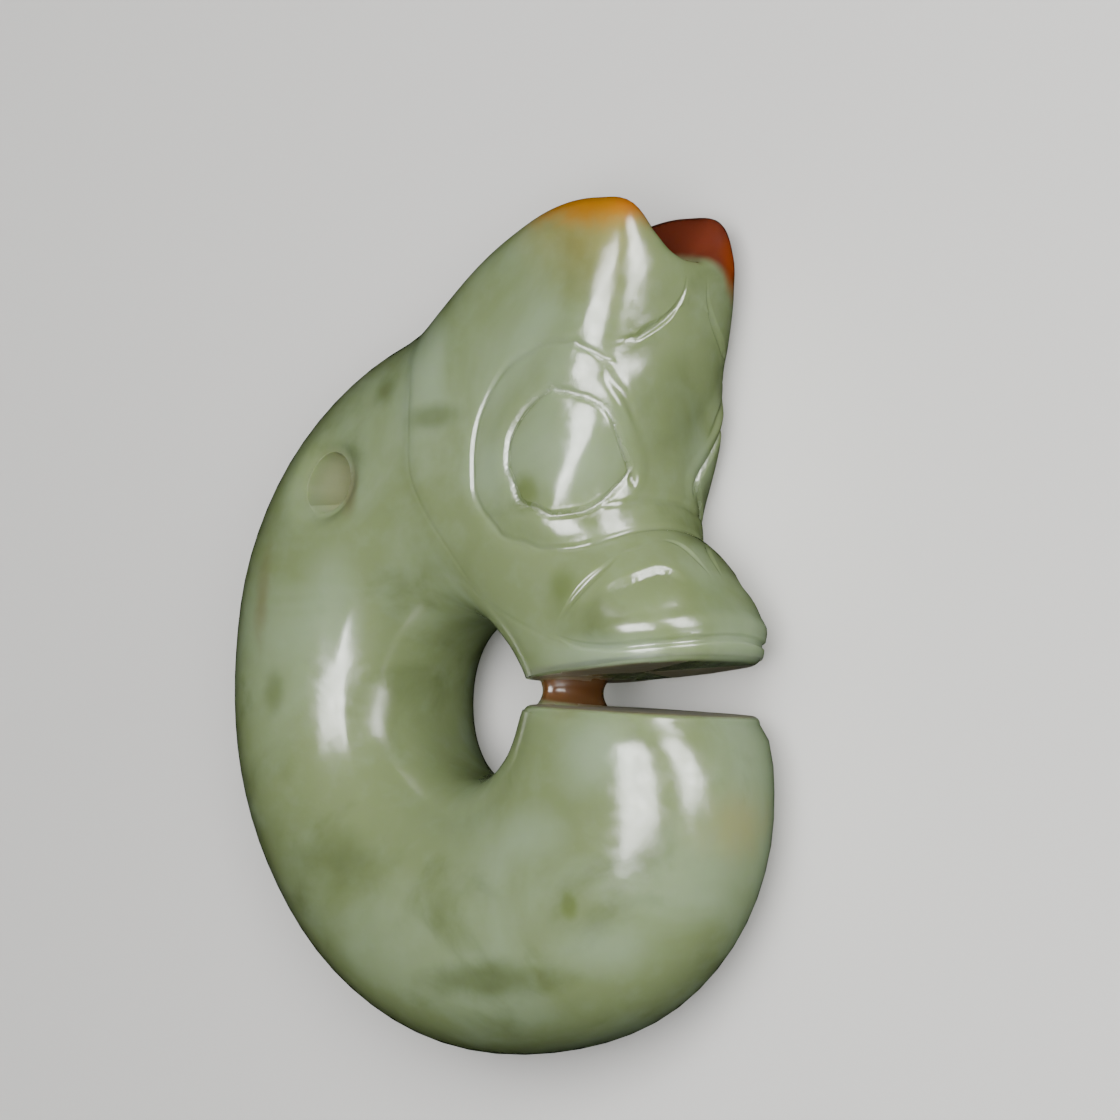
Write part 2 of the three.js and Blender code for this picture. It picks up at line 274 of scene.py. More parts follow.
    def points(
        self, turn: Array, around: Array, inset: Array | float = 0.0,
        shrink: Array | float = 1.0, level: Array | float = 0.0,
    ) -> Array:
        """Points of the surface.

        Args:
            turn: Degrees round the curl.
            around: Degrees around the section.
            inset: How far the section's outline is drawn in.
            shrink: Share to which the section is drawn together on its middle.
            level: How far an end face is lifted back from the slit.

        Returns:
            One row of x, y and z for each place, in millimetres.
        """
        cos, sin = np.cos(np.radians(around)), np.sin(np.radians(around))
        middle = self.thickest_at(turn) * self.unit
        outside = cos > 0.0
        reach = np.where(
            outside,
            self.outer_edge(turn) * self.unit - middle,
            middle - self.inner_wall(turn) * self.curl_eye / 2.0,
        )
        power = np.where(outside, self.outer_squareness(turn), self.inner_squareness(turn))
        scale = (np.abs(cos) ** power + np.abs(sin) ** power) ** (-1.0 / power) * shrink
        fold = np.abs(np.mod(around + 180.0, 360.0) - 180.0)
        crest = self.ear_rise(turn) * self.ear_shape(fold) * self.unit * shrink
        radius = middle + (reach - inset) * scale * cos + crest
        z = (self.flank_share(turn) * self.half - inset) * scale * sin
        angle = self.sweep_angle(turn, radius, z, level)
        points = np.stack([radius * np.cos(angle), radius * np.sin(angle), z], axis=1)
        rise = self.muzzle.height(points / self.unit, self.half / self.unit) * self.unit
        points[:, 2] += np.sign(z) * rise
        return points

    def sweep_angle(self, turn: Array, radius: Array, z: Array, level: Array | float) -> Array:
        """Angle round the curl, which near the slit runs over into the flat end faces.

        Args:
            turn: Degrees round the curl.
            radius: Distance from the curl's axis.
            z: Height through the thickness.
            level: How far an end face is lifted back from the slit.

        Returns:
            The angles in the XY plane, in radians.
        """
        near_tail = turn < self.tail_turn + self.face_reach
        end = np.where(near_tail, self.tail_turn, self.jaw_turn)
        side = np.where(near_tail, -1.0, 1.0)
        closeness = np.clip(1.0 - np.abs(turn - end) / self.face_reach, 0.0, 1.0)
        face = np.arcsin((self.face_height(side, radius, z) + side * level) / radius)
        whole = np.where(near_tail, 0.0, 360.0)
        return -np.radians(turn - whole) + closeness * (face + np.radians(end - whole))

    def normals(self, turn: Array, around: Array, step: float = 0.25) -> Array:
        """Outward normals of the surface, from points a small step to each side.

        Args:
            turn: Degrees round the curl.
            around: Degrees around the section.
            step: The step, in degrees.

        Returns:
            One row of x, y and z for each place, of length 1.
        """
        low = np.maximum(turn - step, self.tail_turn)
        high = np.minimum(turn + step, self.jaw_turn)
        along = self.points(high, around) - self.points(low, around)
        across = self.points(turn, around + step) - self.points(turn, around - step)
        normal = np.cross(across, along)
        return normal / np.maximum(np.linalg.norm(normal, axis=1, keepdims=True), TINY)


class Cut(Enum):
    """How the stone is worked along a line."""

    VEE = "two walls that meet in a sharp bottom"
    GOUGE = "a flat trough with two crisp edges"
    LEDGE = "a step up to the line's left, or down where the depth is negative"
    DOME = "a swelling that fills a closed line"
    ROLL = "a low roll that runs along outside a closed line"
    SWALE = "a wide soft trough, or a soft swelling where the depth is negative"
    VALLEY = "a wide trough whose two sides meet in a crease"


@dataclass(frozen=True)
class CarvedLine:
    """A line cut into the surface, with its mirror on the other flank.

    Args:
        places: (turn, around) pairs that it runs through, on the right flank.
        half_width: Half its width at the surface, in millimetres.
        depth: Its depth, or what a ledge, dome or roll rises, in millimetres.
        cut: How it is worked.
        closed: Whether it comes back to its start.
        crosses_face: Whether it runs on over the nose to the other flank.
        fade: Share of its length over which an open end runs out.
        reach: How far a ledge, dome or roll goes on beside the line, in millimetres.
        end_share: Share of its width that is left at an open end.
        worn_share: Share of its half width over which a sharp bottom is worn round.
        wall_share: Share of its half width that a gouge's wall takes up.
        vee_power: Hollowness of a sharp cut's walls.
        valley_power: Hollowness of a valley's sides.
    """

    places: tuple[Place, ...]
    half_width: float
    depth: float
    cut: Cut = Cut.VEE
    closed: bool = False
    crosses_face: bool = False
    fade: float = 0.25
    reach: float = 0.0
    end_share: float = 0.35
    worn_share: float = 0.2
    wall_share: float = 0.55
    vee_power: float = 1.2
    valley_power: float = 1.7

    def routes(self) -> list[Array]:
        """The routes of the line and its mirror.

        Returns:
            An array of (turn, around) pairs for each.
        """
        right = list(self.places)
        if self.crosses_face:
            back = [(turn, -around) for turn, around in reversed(right)]
            return [self._smooth(right + [(right[-1][0], 0.0)] + back)]
        left = [(turn, -around) for turn, around in right]
        return [self._smooth(right), self._smooth(left)]

    def _smooth(self, places: list[Place], steps: int = 14) -> Array:
        """A smooth route through the places.

        Args:
            places: The (turn, around) pairs that it runs through.
            steps: Steps between each two of them.

        Returns:
            The route as an array of pairs.
        """
        knots = np.array(places, float)
        if self.closed:
            knots = np.vstack([knots[-1], knots, knots[:2]])
        else:
            ends = 2.0 * knots[[0, -1]] - knots[[1, -2]]
            knots = np.vstack([ends[0], knots, ends[1]])
        rows = []
        for before, start, end, after in zip(knots, knots[1:], knots[2:], knots[3:]):
            for share in np.arange(steps) / steps:
                bend = (end - before) / 2.0 * share * (1.0 - share) ** 2
                bend -= (after - start) / 2.0 * share**2 * (1.0 - share)
                blend = share * share * (3.0 - 2.0 * share)
                rows.append(start * (1.0 - blend) + end * blend + bend)
        rows.append(knots[1] if self.closed else knots[-2])
        return np.array(rows)

    def relief(self, curl: Curl, points: Array) -> tuple[Array, Array]:
        """Height that the line gives each point, and each point's distance from it.

        Args:
            curl: The form that the line runs on.
            points: Points of the surface, in millimetres.

        Returns:
            Heights (negative where stone is cut away) and distances, in millimetres.
        """
        height = np.zeros(len(points))
        nearest = np.full(len(points), FAR)
        for route in self.routes():
            line = curl.points(route[:, 0], route[:, 1])
            aside = np.cross(curl.normals(route[:, 0], route[:, 1]), np.gradient(line, axis=0))
            span = FAR if self.cut is Cut.DOME else max(self.half_width, self.reach) + MARGIN
            where, distance, side, along = nearest_on_line(points, line, aside, span)
            if route[len(route) // 2, 1] < 0 and not self.crosses_face:
                side = -side
            height[where] += self._profile(distance, side, along)
            nearest[where] = np.minimum(nearest[where], distance)
        return height, nearest

    def _profile(self, distance: Array, side: Array, along: Array) -> Array:
        """Height across the line, faded towards open ends.

        Args:
            distance: Distance from the line, in millimetres.
            side: 1 on the line's left and -1 on its right.
            along: Share of the line's length.

        Returns:
            The heights, in millimetres.
        """
        end = np.ones_like(along) if self.closed else smooth_step(
            np.minimum(along, 1.0 - along) / self.fade)
        half = self.half_width * (self.end_share + (1.0 - self.end_share) * end)
        inside = side * distance
        if self.cut is Cut.VEE:
            worn = self.worn_share * half
            rounded = np.sqrt(distance**2 + worn**2) - worn
            rest = np.clip(1.0 - rounded / half, 0.0, None)
            return -self.depth * end * rest**self.vee_power
        if self.cut is Cut.GOUGE:
            return -self.depth * end * smooth_step((half - distance) / (self.wall_share * half))
        share = np.clip(distance / self.half_width, 0.0, 1.0)
        if self.cut is Cut.SWALE:
            return -self.depth * end * (0.5 + 0.5 * np.cos(math.pi * share))
        if self.cut is Cut.VALLEY:
            return -self.depth * end * (1.0 - share) ** self.valley_power
        if self.cut is Cut.DOME:
            share = np.clip(inside / self.reach, 0.0, 1.0)
            return self.depth * np.sqrt(1.0 - (1.0 - share) ** 2)
        if self.cut is Cut.ROLL:
            share = np.clip(-inside / self.reach, 0.0, 1.0)
            return self.depth * np.sin(math.pi * share) ** 2
        wall = smooth_step(0.5 + inside / (2.0 * self.half_width))
        return self.depth * end * wall * (1.0 - smooth_step(inside / self.reach))


def nearest_on_line(
    points: Array, line: Array, aside: Array, span: float,
) -> tuple[Array, Array, Array, Array]:
    """Where the points near a line lie against it.

    Args:
        points: Points in space.
        line: The line's points in order.
        aside: The direction to the line's left at each of them.
        span: How far from the line points still count.

    Returns:
        The indices of the points that count, and for each its distance, its side (1 or -1)
        and its share of the line's length.
    """
    lengths = np.linalg.norm(np.diff(line, axis=0), axis=1)
    travelled = np.concatenate([[0.0], np.cumsum(lengths)])
    best = np.full(len(points), np.inf)
    side = np.ones(len(points))
    along = np.zeros(len(points))
    stretch = 12
    for first in range(0, len(line) - 1, stretch):
        part = line[first:first + stretch + 1]
        close = np.all((points > part.min(0) - span) & (points < part.max(0) + span), axis=1)
        here = np.flatnonzero(close)
        for i in range(first, min(first + stretch, len(line) - 1)):
            run = line[i + 1] - line[i]
            offset = points[here] - line[i]
            share = np.clip(offset @ run / max(run @ run, TINY), 0.0, 1.0)
            gap = offset - share[:, None] * run
            distance = np.linalg.norm(gap, axis=1)
            closer = distance < best[here]
            found = here[closer]
            best[found] = distance[closer]
            side[found] = np.where(gap[closer] @ aside[i] > 0.0, 1.0, -1.0)
            along[found] = travelled[i] + share[closer] * (travelled[i + 1] - travelled[i])
    where = np.flatnonzero(np.isfinite(best))
    return where, best[where], side[where], along[where] / travelled[-1]


EYE_RIM: tuple[Place, ...] = (
    (295.4, 72.5), (292.9, 77.5), (292.1, 81), (294.5, 84), (299.3, 82.5), (305.1, 79),
    (311, 71), (314.8, 55.5), (315.4, 44), (314.2, 34), (313.2, 28.4), (312.2, 28.6),
    (309, 39), (305.7, 47.5), (301.3, 58), (298.7, 65),
)
EYE_RING: tuple[Place, ...] = (
    (304, 40), (301.3, 49), (298.5, 57.5), (295.1, 65), (290.2, 69), (286.1, 72),
    (283.3, 77), (282.4, 81.5), (283.4, 86.5), (286.3, 91.5), (290.6, 94), (295.4, 94.3),
    (298.6, 92.4), (301.8, 90), (306.8, 88.2), (312.9, 83.5), (316.4, 77), (319.5, 68),
    (321.4, 59), (322.5, 46), (322.7, 27), (322.7, 12),
)
BROW: tuple[Place, ...] = (
    (300.9, 51), (302.6, 46.5), (304.4, 43.5), (305.9, 40), (308.4, 32.5), (310.4, 24),
)
BROW_RIDGE: tuple[Place, ...] = (
    (299.7, 50), (301.7, 45.5), (303.6, 41.5), (305.7, 37), (307.7, 31.5), (311.4, 14),
)
TEAR: tuple[Place, ...] = ((312.3, 28), (313.5, 25.8), (315.4, 23.6))
EAR_EDGE: tuple[Place, ...] = (
    (301.1, 46.5), (302.6, 36), (303, 30.5), (302.6, 19), (301.4, 10), (299.9, 7.5),
)
HEAD_BACK: tuple[Place, ...] = (
    (263.8, 36), (262.9, 49.5), (263.6, 62), (263.4, 73.5), (263.3, 88), (269.4, 104.5),
    (276, 113),
)
CHEEK: tuple[Place, ...] = (
    (262.9, 49.5), (263.6, 62), (263.4, 73.5), (263.3, 88), (269.4, 104.5), (281.5, 118.5),
    (299.7, 126.5), (324, 119.5), (340.6, 105), (348, 88.5),
)
MUZZLE_LEG: tuple[Place, ...] = (
    (338.9, 95.5), (334.8, 78.5), (332.3, 66.5), (330.2, 54.5), (328.2, 45),
)
MUZZLE_ARCH: tuple[Place, ...] = ((329.2, 50), (327.6, 41), (327.3, 30), (327.1, 21))
MUZZLE_FRONT: tuple[Place, ...] = (
    (327.1, 23), (327.8, 16), (329, 11.5), (331.1, 8.5), (333.9, 6.5), (338, 4.5),
)
NOSTRIL: tuple[Place, ...] = (
    (339.7, 22.5), (337.6, 24.8), (335.8, 28), (334.8, 33), (335, 40), (335.6, 49),
    (335.9, 57), (337, 65),
)
MOUTH: tuple[Place, ...] = (
    (341.5, 99), (347, 87.5), (349.2, 78), (350.4, 68), (350.8, 55), (350.9, 40),
    (350.8, 27), (350.4, 8),
)
NOSE_CREASE: tuple[Place, ...] = ((315.6, 46), (316.6, 36.5), (317.2, 28), (317.4, 14))
RING_VALLEY: tuple[Place, ...] = (
    (301.8, 90.4), (306.8, 88.5), (312.9, 84), (316.6, 77.4), (319.8, 68), (321.8, 59),
    (322.9, 46), (323.1, 27), (323.1, 12),
)
BODY_CREST: tuple[Place, ...] = (
    (238, 114), (224, 118.5), (215.5, 121), (205, 123.5), (194, 125.3), (178, 126.6),
    (164.5, 126.3), (148.6, 124.5), (134.6, 121.5), (120, 117),
)
LIP: tuple[Place, ...] = (
    (336.5, 97), (343.4, 82), (346.1, 68), (346.9, 55), (347.1, 40), (346.9, 25), (346.4, 9),
)


def carved_lines() -> list[CarvedLine]:
    """Every carved line and soft form, from the ears down to the mouth, and the body's crest.

    Returns:
        The lines, with sizes in millimetres.
    """
    return [
        CarvedLine(EYE_RIM, 0.42, 0.22, closed=True),
        CarvedLine(EYE_RIM, 0.4, 0.3, Cut.DOME, closed=True, reach=2.8),
        CarvedLine(EYE_RIM, 0.4, 0.12, Cut.ROLL, closed=True, reach=2.6),
        CarvedLine(EYE_RING, 0.3, 0.18, crosses_face=True, fade=0.02),
        CarvedLine(EYE_RING, 1.2, 0.1, Cut.SWALE, crosses_face=True, fade=0.05),
        CarvedLine(RING_VALLEY, 2.7, 0.5, Cut.VALLEY, crosses_face=True, fade=0.12),
        CarvedLine(BROW, 0.62, 0.24, fade=0.45),
        CarvedLine(BROW_RIDGE, 2.0, -0.45, Cut.LEDGE, fade=0.35, reach=14.0),
        CarvedLine(TEAR, 0.6, 0.26, fade=0.5),
        CarvedLine(EAR_EDGE, 0.42, 0.26, Cut.GOUGE, fade=0.5),
        CarvedLine(HEAD_BACK, 1.1, 0.26, Cut.LEDGE, fade=0.3, reach=6.0),
        CarvedLine(CHEEK, 0.22, 0.05, fade=0.15),
        CarvedLine(MUZZLE_LEG, 0.46, 0.26, Cut.GOUGE, fade=0.5),
        CarvedLine(MUZZLE_ARCH, 0.3, 0.1, fade=0.5),
        CarvedLine(MUZZLE_FRONT, 0.36, 0.2, fade=0.5),
        CarvedLine(NOSTRIL, 0.5, -0.42, Cut.LEDGE, fade=0.3, reach=3.4),
        CarvedLine(MOUTH, 0.42, 0.24, Cut.GOUGE, crosses_face=True, fade=0.08),
        CarvedLine(MOUTH, 1.1, 0.12, Cut.SWALE, crosses_face=True, fade=0.12),
        CarvedLine(LIP, 1.1, -0.2, Cut.SWALE, crosses_face=True, fade=0.2),
        CarvedLine(NOSE_CREASE, 0.4, 0.18, crosses_face=True, fade=0.06),
        CarvedLine(BODY_CREST, 1.7, -0.13, Cut.VALLEY, fade=0.2),
    ]


def worn_places() -> dict[str, CarvedLine]:
    """Lines whose relief, from 0 to 1, marks where the polish is broken.

    Returns:
        A line for each kind of wear.
    """
    return {
        "worn": CarvedLine(EYE_RIM, 0.62, -1.0, closed=True),
        "striated": CarvedLine(NOSTRIL, 0.4, 1.0, Cut.LEDGE, fade=0.3, reach=1.7),
    }


def select_only(piece: bpy.types.Object) -> None:
    """Deselect everything, then select the piece and make it active.

    Args:
        piece: The piece.
    """
    bpy.ops.object.select_all(action="DESELECT")
    piece.select_set(True)
    bpy.context.view_layer.objects.active = piece


def read_points(piece: bpy.types.Object) -> Array:
    """Where the piece's vertices are.

    Args:
        piece: The piece.

    Returns:
        One row of x, y and z for each vertex.
    """
    flat = np.empty(3 * len(piece.data.vertices))
    piece.data.vertices.foreach_get("co", flat)
    return flat.reshape(-1, 3)


def write_points(piece: bpy.types.Object, points: Array) -> None:
    """Give the piece's vertices new places."""
    piece.data.vertices.foreach_set("co", np.ascontiguousarray(points, np.float32).ravel())
    piece.data.update()


@dataclass
class StoneSkin:
    """A sphere's skin pulled round into the curl, finer where lines are carved.

    Args:
        curl: The form.
        around_steps: Faces around each section.
        body_rows: Rows of faces along the body.
        head_rows: Rows of faces along the head.
        face_rows: Rows of faces on each end face.
        edge_rows: Rows of faces round each end's edge.
        edge: Rounding of the edges along the slit, in millimetres.
        head_start: Turn from which the rows are closer.
        carved_until: Angle around the section up to which its faces are narrower.
        carved_share: Share of the faces that lie up to there.
        measured_at: Angles around the section at which the rows' distance is measured.
        measured_steps: Steps in which it is measured.
    """

    curl: Curl
    around_steps: int = 156
    body_rows: int = 56
    head_rows: int = 140
    face_rows: int = 6
    edge_rows: int = 4
    edge: float = 0.7
    head_start: float = 261.0
    carved_until: float = 130.0
    carved_share: float = 0.86
    measured_at: tuple[float, ...] = (0.0, 20.0, 40.0, 60.0, 80.0, 100.0)
    measured_steps: int = 600

    def stations(self) -> Array:
        """The skin's rows, from the middle of the tail's face to the middle of the jaw's.

        Returns:
            Turn, inset, shrink and level of each.
        """
        def end(turn: float) -> list[tuple[float, float, float, float]]:
            """The rows of an end face and its edge, from the face's middle outwards.

            Args:
                turn: The turn at which the body ends.

            Returns:
                Turn, inset, shrink and level of each.
            """
            faces = [
                (turn, self.edge, i / self.face_rows, 0.0) for i in range(self.face_rows)
            ]
            edges = []
            for i in range(self.edge_rows):
                lean = math.pi / 2.0 * i / self.edge_rows
                edges.append((
                    turn, self.edge * (1.0 - math.sin(lean)), 1.0,
                    self.edge * (1.0 - math.cos(lean)),
                ))
            return faces + edges

        rows = end(self.curl.tail_turn)
        body = self.even_turns(self.curl.tail_turn, self.head_start, self.body_rows)
        head = self.even_turns(self.head_start, self.curl.jaw_turn, self.head_rows)
        turns = np.concatenate([body[:-1], head])
        levels = np.zeros(len(turns))
        levels[[0, -1]] = self.edge
        rows += [(turn, 0.0, 1.0, level) for turn, level in zip(turns, levels)]
        return np.array(rows + end(self.curl.jaw_turn)[::-1])

    def even_turns(self, first: float, last: float, count: int) -> Array:
        """Turns that lie evenly far apart on the surface, where that is widest.

        Args:
            first: The first turn.
            last: The last turn.
            count: Spaces between them.

        Returns:
            The turns, both ends included.
        """
        turns = np.linspace(first, last, self.measured_steps)
        travelled = np.zeros(len(turns))
        for around in self.measured_at:
            line = self.curl.points(turns, np.full(len(turns), around))
            steps = np.linalg.norm(np.diff(line, axis=0), axis=1)
            travelled[1:] = np.maximum(travelled[1:], steps)
        travelled = np.cumsum(travelled)
        return np.interp(np.linspace(0.0, travelled[-1], count + 1), travelled, turns)

    def blank(self, name: str) -> bpy.types.Object:
        """The sphere that the stone is shaped from, with a ring for each station.

        Args:
            name: The name of the object and its mesh.

        Returns:
            The sphere.
        """
        bpy.ops.object.select_all(action="DESELECT")
        bpy.ops.mesh.primitive_uv_sphere_add(
            segments=self.around_steps, ring_count=len(self.stations()) - 1, radius=1.0,
            location=(0.0, 0.0, 0.0))
        blank = bpy.context.object
        blank.name = blank.data.name = name
        return blank

    def places(self, points: Array) -> dict[str, Array]:
        """The place on the form that each point of the blank stands for.

        Args:
            points: Points of the blank.

        Returns:
            Turn, around, inset, shrink and level of each, by name.
        """
        rows = self.stations()
        down = np.arctan2(np.hypot(points[:, 0], points[:, 1]), points[:, 2])
        row = down / math.pi * (len(rows) - 1)
        turn, inset, shrink, level = (
            np.interp(row, np.arange(len(rows)), column) for column in rows.T
        )
        heading = np.arctan2(points[:, 1], points[:, 0]) / math.pi
        around = np.copysign(
            np.interp(np.abs(heading), (0.0, self.carved_share, 1.0),
                      (0.0, self.carved_until, 180.0)), heading)
        return {"turn": turn, "around": around, "inset": inset, "shrink": shrink, "level": level}

    def refine(self, blank: bpy.types.Object, near: Callable[[Array], Array]) -> None:
        """Subdivide the faces that have a corner where near is true.

        Args:
            blank: The sphere.
            near: Tells for shaped points, in millimetres, which are near carving.
        """
        chosen = near(self.curl.points(**self.places(read_points(blank))))
        mesh = blank.data
        starts = np.empty(len(mesh.polygons), np.int32)
        corners = np.empty(len(mesh.loops), np.int32)
        mesh.polygons.foreach_get("loop_start", starts)
        mesh.loops.foreach_get("vertex_index", corners)
        picked = np.logical_or.reduceat(chosen[corners], starts)
        mesh.vertices.foreach_set("select", np.zeros(len(mesh.vertices), bool))
        mesh.edges.foreach_set("select", np.zeros(len(mesh.edges), bool))
        mesh.polygons.foreach_set("select", picked)
        select_only(blank)
        bpy.ops.object.mode_set(mode="EDIT")
        bpy.context.tool_settings.mesh_select_mode = (False, False, True)
        bpy.ops.mesh.subdivide(number_cuts=1, ngon=False, quadcorner="STRAIGHT_CUT")
        bpy.ops.object.mode_set(mode="OBJECT")


@dataclass(frozen=True)
class StainOrPaintedLight:
    """A coloured place in the stone: its own stains, and also painted shade and a painted glow.

    Args:
        centre: Its middle in the curl's own millimetres.
        radii: Its half axes.
        colour: Linear red, green and blue.
        strength: How much of the colour shows in its middle.
        softness: Share of the radius over which it fades.
        ragged: How far the noise pushes its edge, as a share of the radius.
    """

    centre: tuple[float, float, float]
    radii: tuple[float, float, float]
    colour: Colour
    strength: float = 1.0
    softness: float = 0.5
    ragged: float = 0.25


MILKY: Colour = (0.265, 0.340, 0.215)
# Olive: the stone's own patches, and also painted shade that darkens the lower body.
OLIVE: Colour = (0.085, 0.110, 0.038)
MOSS: Colour = (0.120, 0.160, 0.050)
UMBER: Colour = (0.135, 0.095, 0.040)
OCHRE: Colour = (0.37, 0.150, 0.004)
OXBLOOD: Colour = (0.125, 0.024, 0.011)
RUST: Colour = (0.30, 0.055, 0.006)
STRAW: Colour = (0.28, 0.23, 0.055)
SAWN: Colour = (0.080, 0.057, 0.012)
# Painted glow: a light olive laid into the cord hole, lighter than the stone around it, against
# the hole's own shadow.
PAINTED_BORE_GLOW: Colour = (0.31, 0.33, 0.18)
WEB: Colour = (0.095, 0.040, 0.012)
SLIT: Colour = (0.075, 0.045, 0.010)

# The stone's own stains, with painted light among them: two broad olive darkenings paint shade
# over the lower body, and a light patch paints a glow into the cord hole.
STAINS_AND_PAINTED_LIGHT: tuple[StainOrPaintedLight, ...] = (
    StainOrPaintedLight((0.0, 28.5, 9.0), (2.4, 5.6, 5.0), MILKY, 0.8, 0.8),
    StainOrPaintedLight((17.5, -6.0, 10.5), (5.5, 5.0, 5.0), MILKY, 0.85, 0.9),
    StainOrPaintedLight((11.5, -12.5, 10.5), (5.0, 3.4, 5.0), MILKY, 0.6, 0.9),
    StainOrPaintedLight((16.5, -22.5, 8.5), (7.5, 3.4, 6.0), MILKY, 0.6, 0.9),
    StainOrPaintedLight((-11.5, 9.5, 10.5), (4.0, 6.0, 5.0), MILKY, 0.5, 0.9),
    StainOrPaintedLight((14.5, 19.5, 9.5), (3.6, 4.4, 4.0), MILKY, 0.5, 0.8),
    StainOrPaintedLight((18.0, 2.6, 8.0), (8.0, 2.4, 7.0), MILKY, 0.85, 0.8),
    # Painted shade: the lower left of the body darkened where the light falls off.
    StainOrPaintedLight((-16.0, -17.0, 8.0), (15.0, 13.0, 14.0), OLIVE, 0.35, 0.95),
    # Painted shade: the bottom of the curl darkened where the light falls off.
    StainOrPaintedLight((4.0, -30.0, 6.0), (20.0, 8.0, 14.0), OLIVE, 0.3, 0.95),
    StainOrPaintedLight((-9.0, -14.8, 10.5), (7.0, 4.4, 6.0), OLIVE, 0.6, 0.95, 0.5),
    StainOrPaintedLight((6.0, -25.0, 9.5), (9.0, 2.4, 5.0), OLIVE, 0.7, 0.8, 0.45),
    StainOrPaintedLight((0.5, 24.0, 10.5), (4.4, 1.8, 4.0), OLIVE, 0.6, 0.8, 0.4),
    StainOrPaintedLight((-6.6, 27.0, 8.9), (2.2, 2.2, 4.0), OLIVE, 0.6, 0.8, 0.4),
    StainOrPaintedLight((10.6, 16.8, 11.0), (1.8, 2.2, 3.0), MOSS, 0.8, 0.8, 0.4),
    StainOrPaintedLight((16.0, 14.4, 8.0), (4.4, 1.0, 5.0), MOSS, 0.8, 0.8, 0.4),
    StainOrPaintedLight((14.2, 8.2, 10.6), (2.0, 3.2, 4.0), MOSS, 0.7, 0.9, 0.4),
    StainOrPaintedLight((23.6, 6.8, 3.0), (2.6, 4.0, 7.0), MOSS, 0.5, 0.9, 0.4),
    StainOrPaintedLight((19.4, 24.0, 0.0), (3.2, 7.0, 7.0), OLIVE, 0.45, 0.9, 0.4),
    StainOrPaintedLight((14.8, -18.6, 10.6), (1.0, 1.5, 3.0), MOSS, 0.9, 0.8, 0.6),
    StainOrPaintedLight((-19.2, 9.0, 9.0), (1.6, 6.0, 7.0), UMBER, 0.5, 0.9, 0.5),
    StainOrPaintedLight((-17.4, 0.6, 11.0), (1.6, 3.0, 4.0), OLIVE, 0.5, 0.9, 0.4),
    StainOrPaintedLight((-9.6, 18.2, 10.5), (1.6, 3.2, 4.0), UMBER, 0.5, 0.9, 0.4),
    StainOrPaintedLight((14.0, -2.4, 6.0), (3.0, 1.6, 8.0), UMBER, 0.5, 0.9, 0.4),
    StainOrPaintedLight((26.6, -12.0, 1.0), (4.6, 5.0, 9.0), STRAW, 0.42, 0.95, 0.4),
    # Painted glow: the cord hole's wall lightened against its own shadow, as if lit through the
    # thin stone.
    StainOrPaintedLight((-12.6, 19.3, 0.0), (4.4, 4.4, 16.0), PAINTED_BORE_GLOW, 0.9, 0.5, 0.1),
    StainOrPaintedLight((16.0, 44.0, 8.0), (11.5, 9.5, 8.0), STRAW, 0.55, 0.8, 0.25),
    StainOrPaintedLight((15.5, 38.5, 8.5), (8.5, 8.5, 5.5), STRAW, 0.35, 0.95, 0.3),
    StainOrPaintedLight((16.5, 45.5, 7.5), (11.0, 7.4, 7.5), OCHRE, 1.0, 0.42, 0.2),
    StainOrPaintedLight((19.5, 42.2, 5.8), (3.4, 3.6, 3.4), RUST, 0.8, 0.9, 0.3),
    StainOrPaintedLight((17.0, 43.0, -7.0), (10.0, 8.0, 8.0), OXBLOOD, 1.0, 0.2, 0.12),
    StainOrPaintedLight((21.0, 37.6, -8.0), (2.8, 4.6, 4.2), RUST, 0.9, 0.6, 0.15),
    StainOrPaintedLight((9.5, 0.0, 1.0), (4.6, 1.7, 10.0), WEB, 1.0, 0.3, 0.15),
    StainOrPaintedLight((19.0, 1.0, -2.0), (10.0, 1.1, 9.5), SLIT, 0.85, 0.6, 0.2),
)


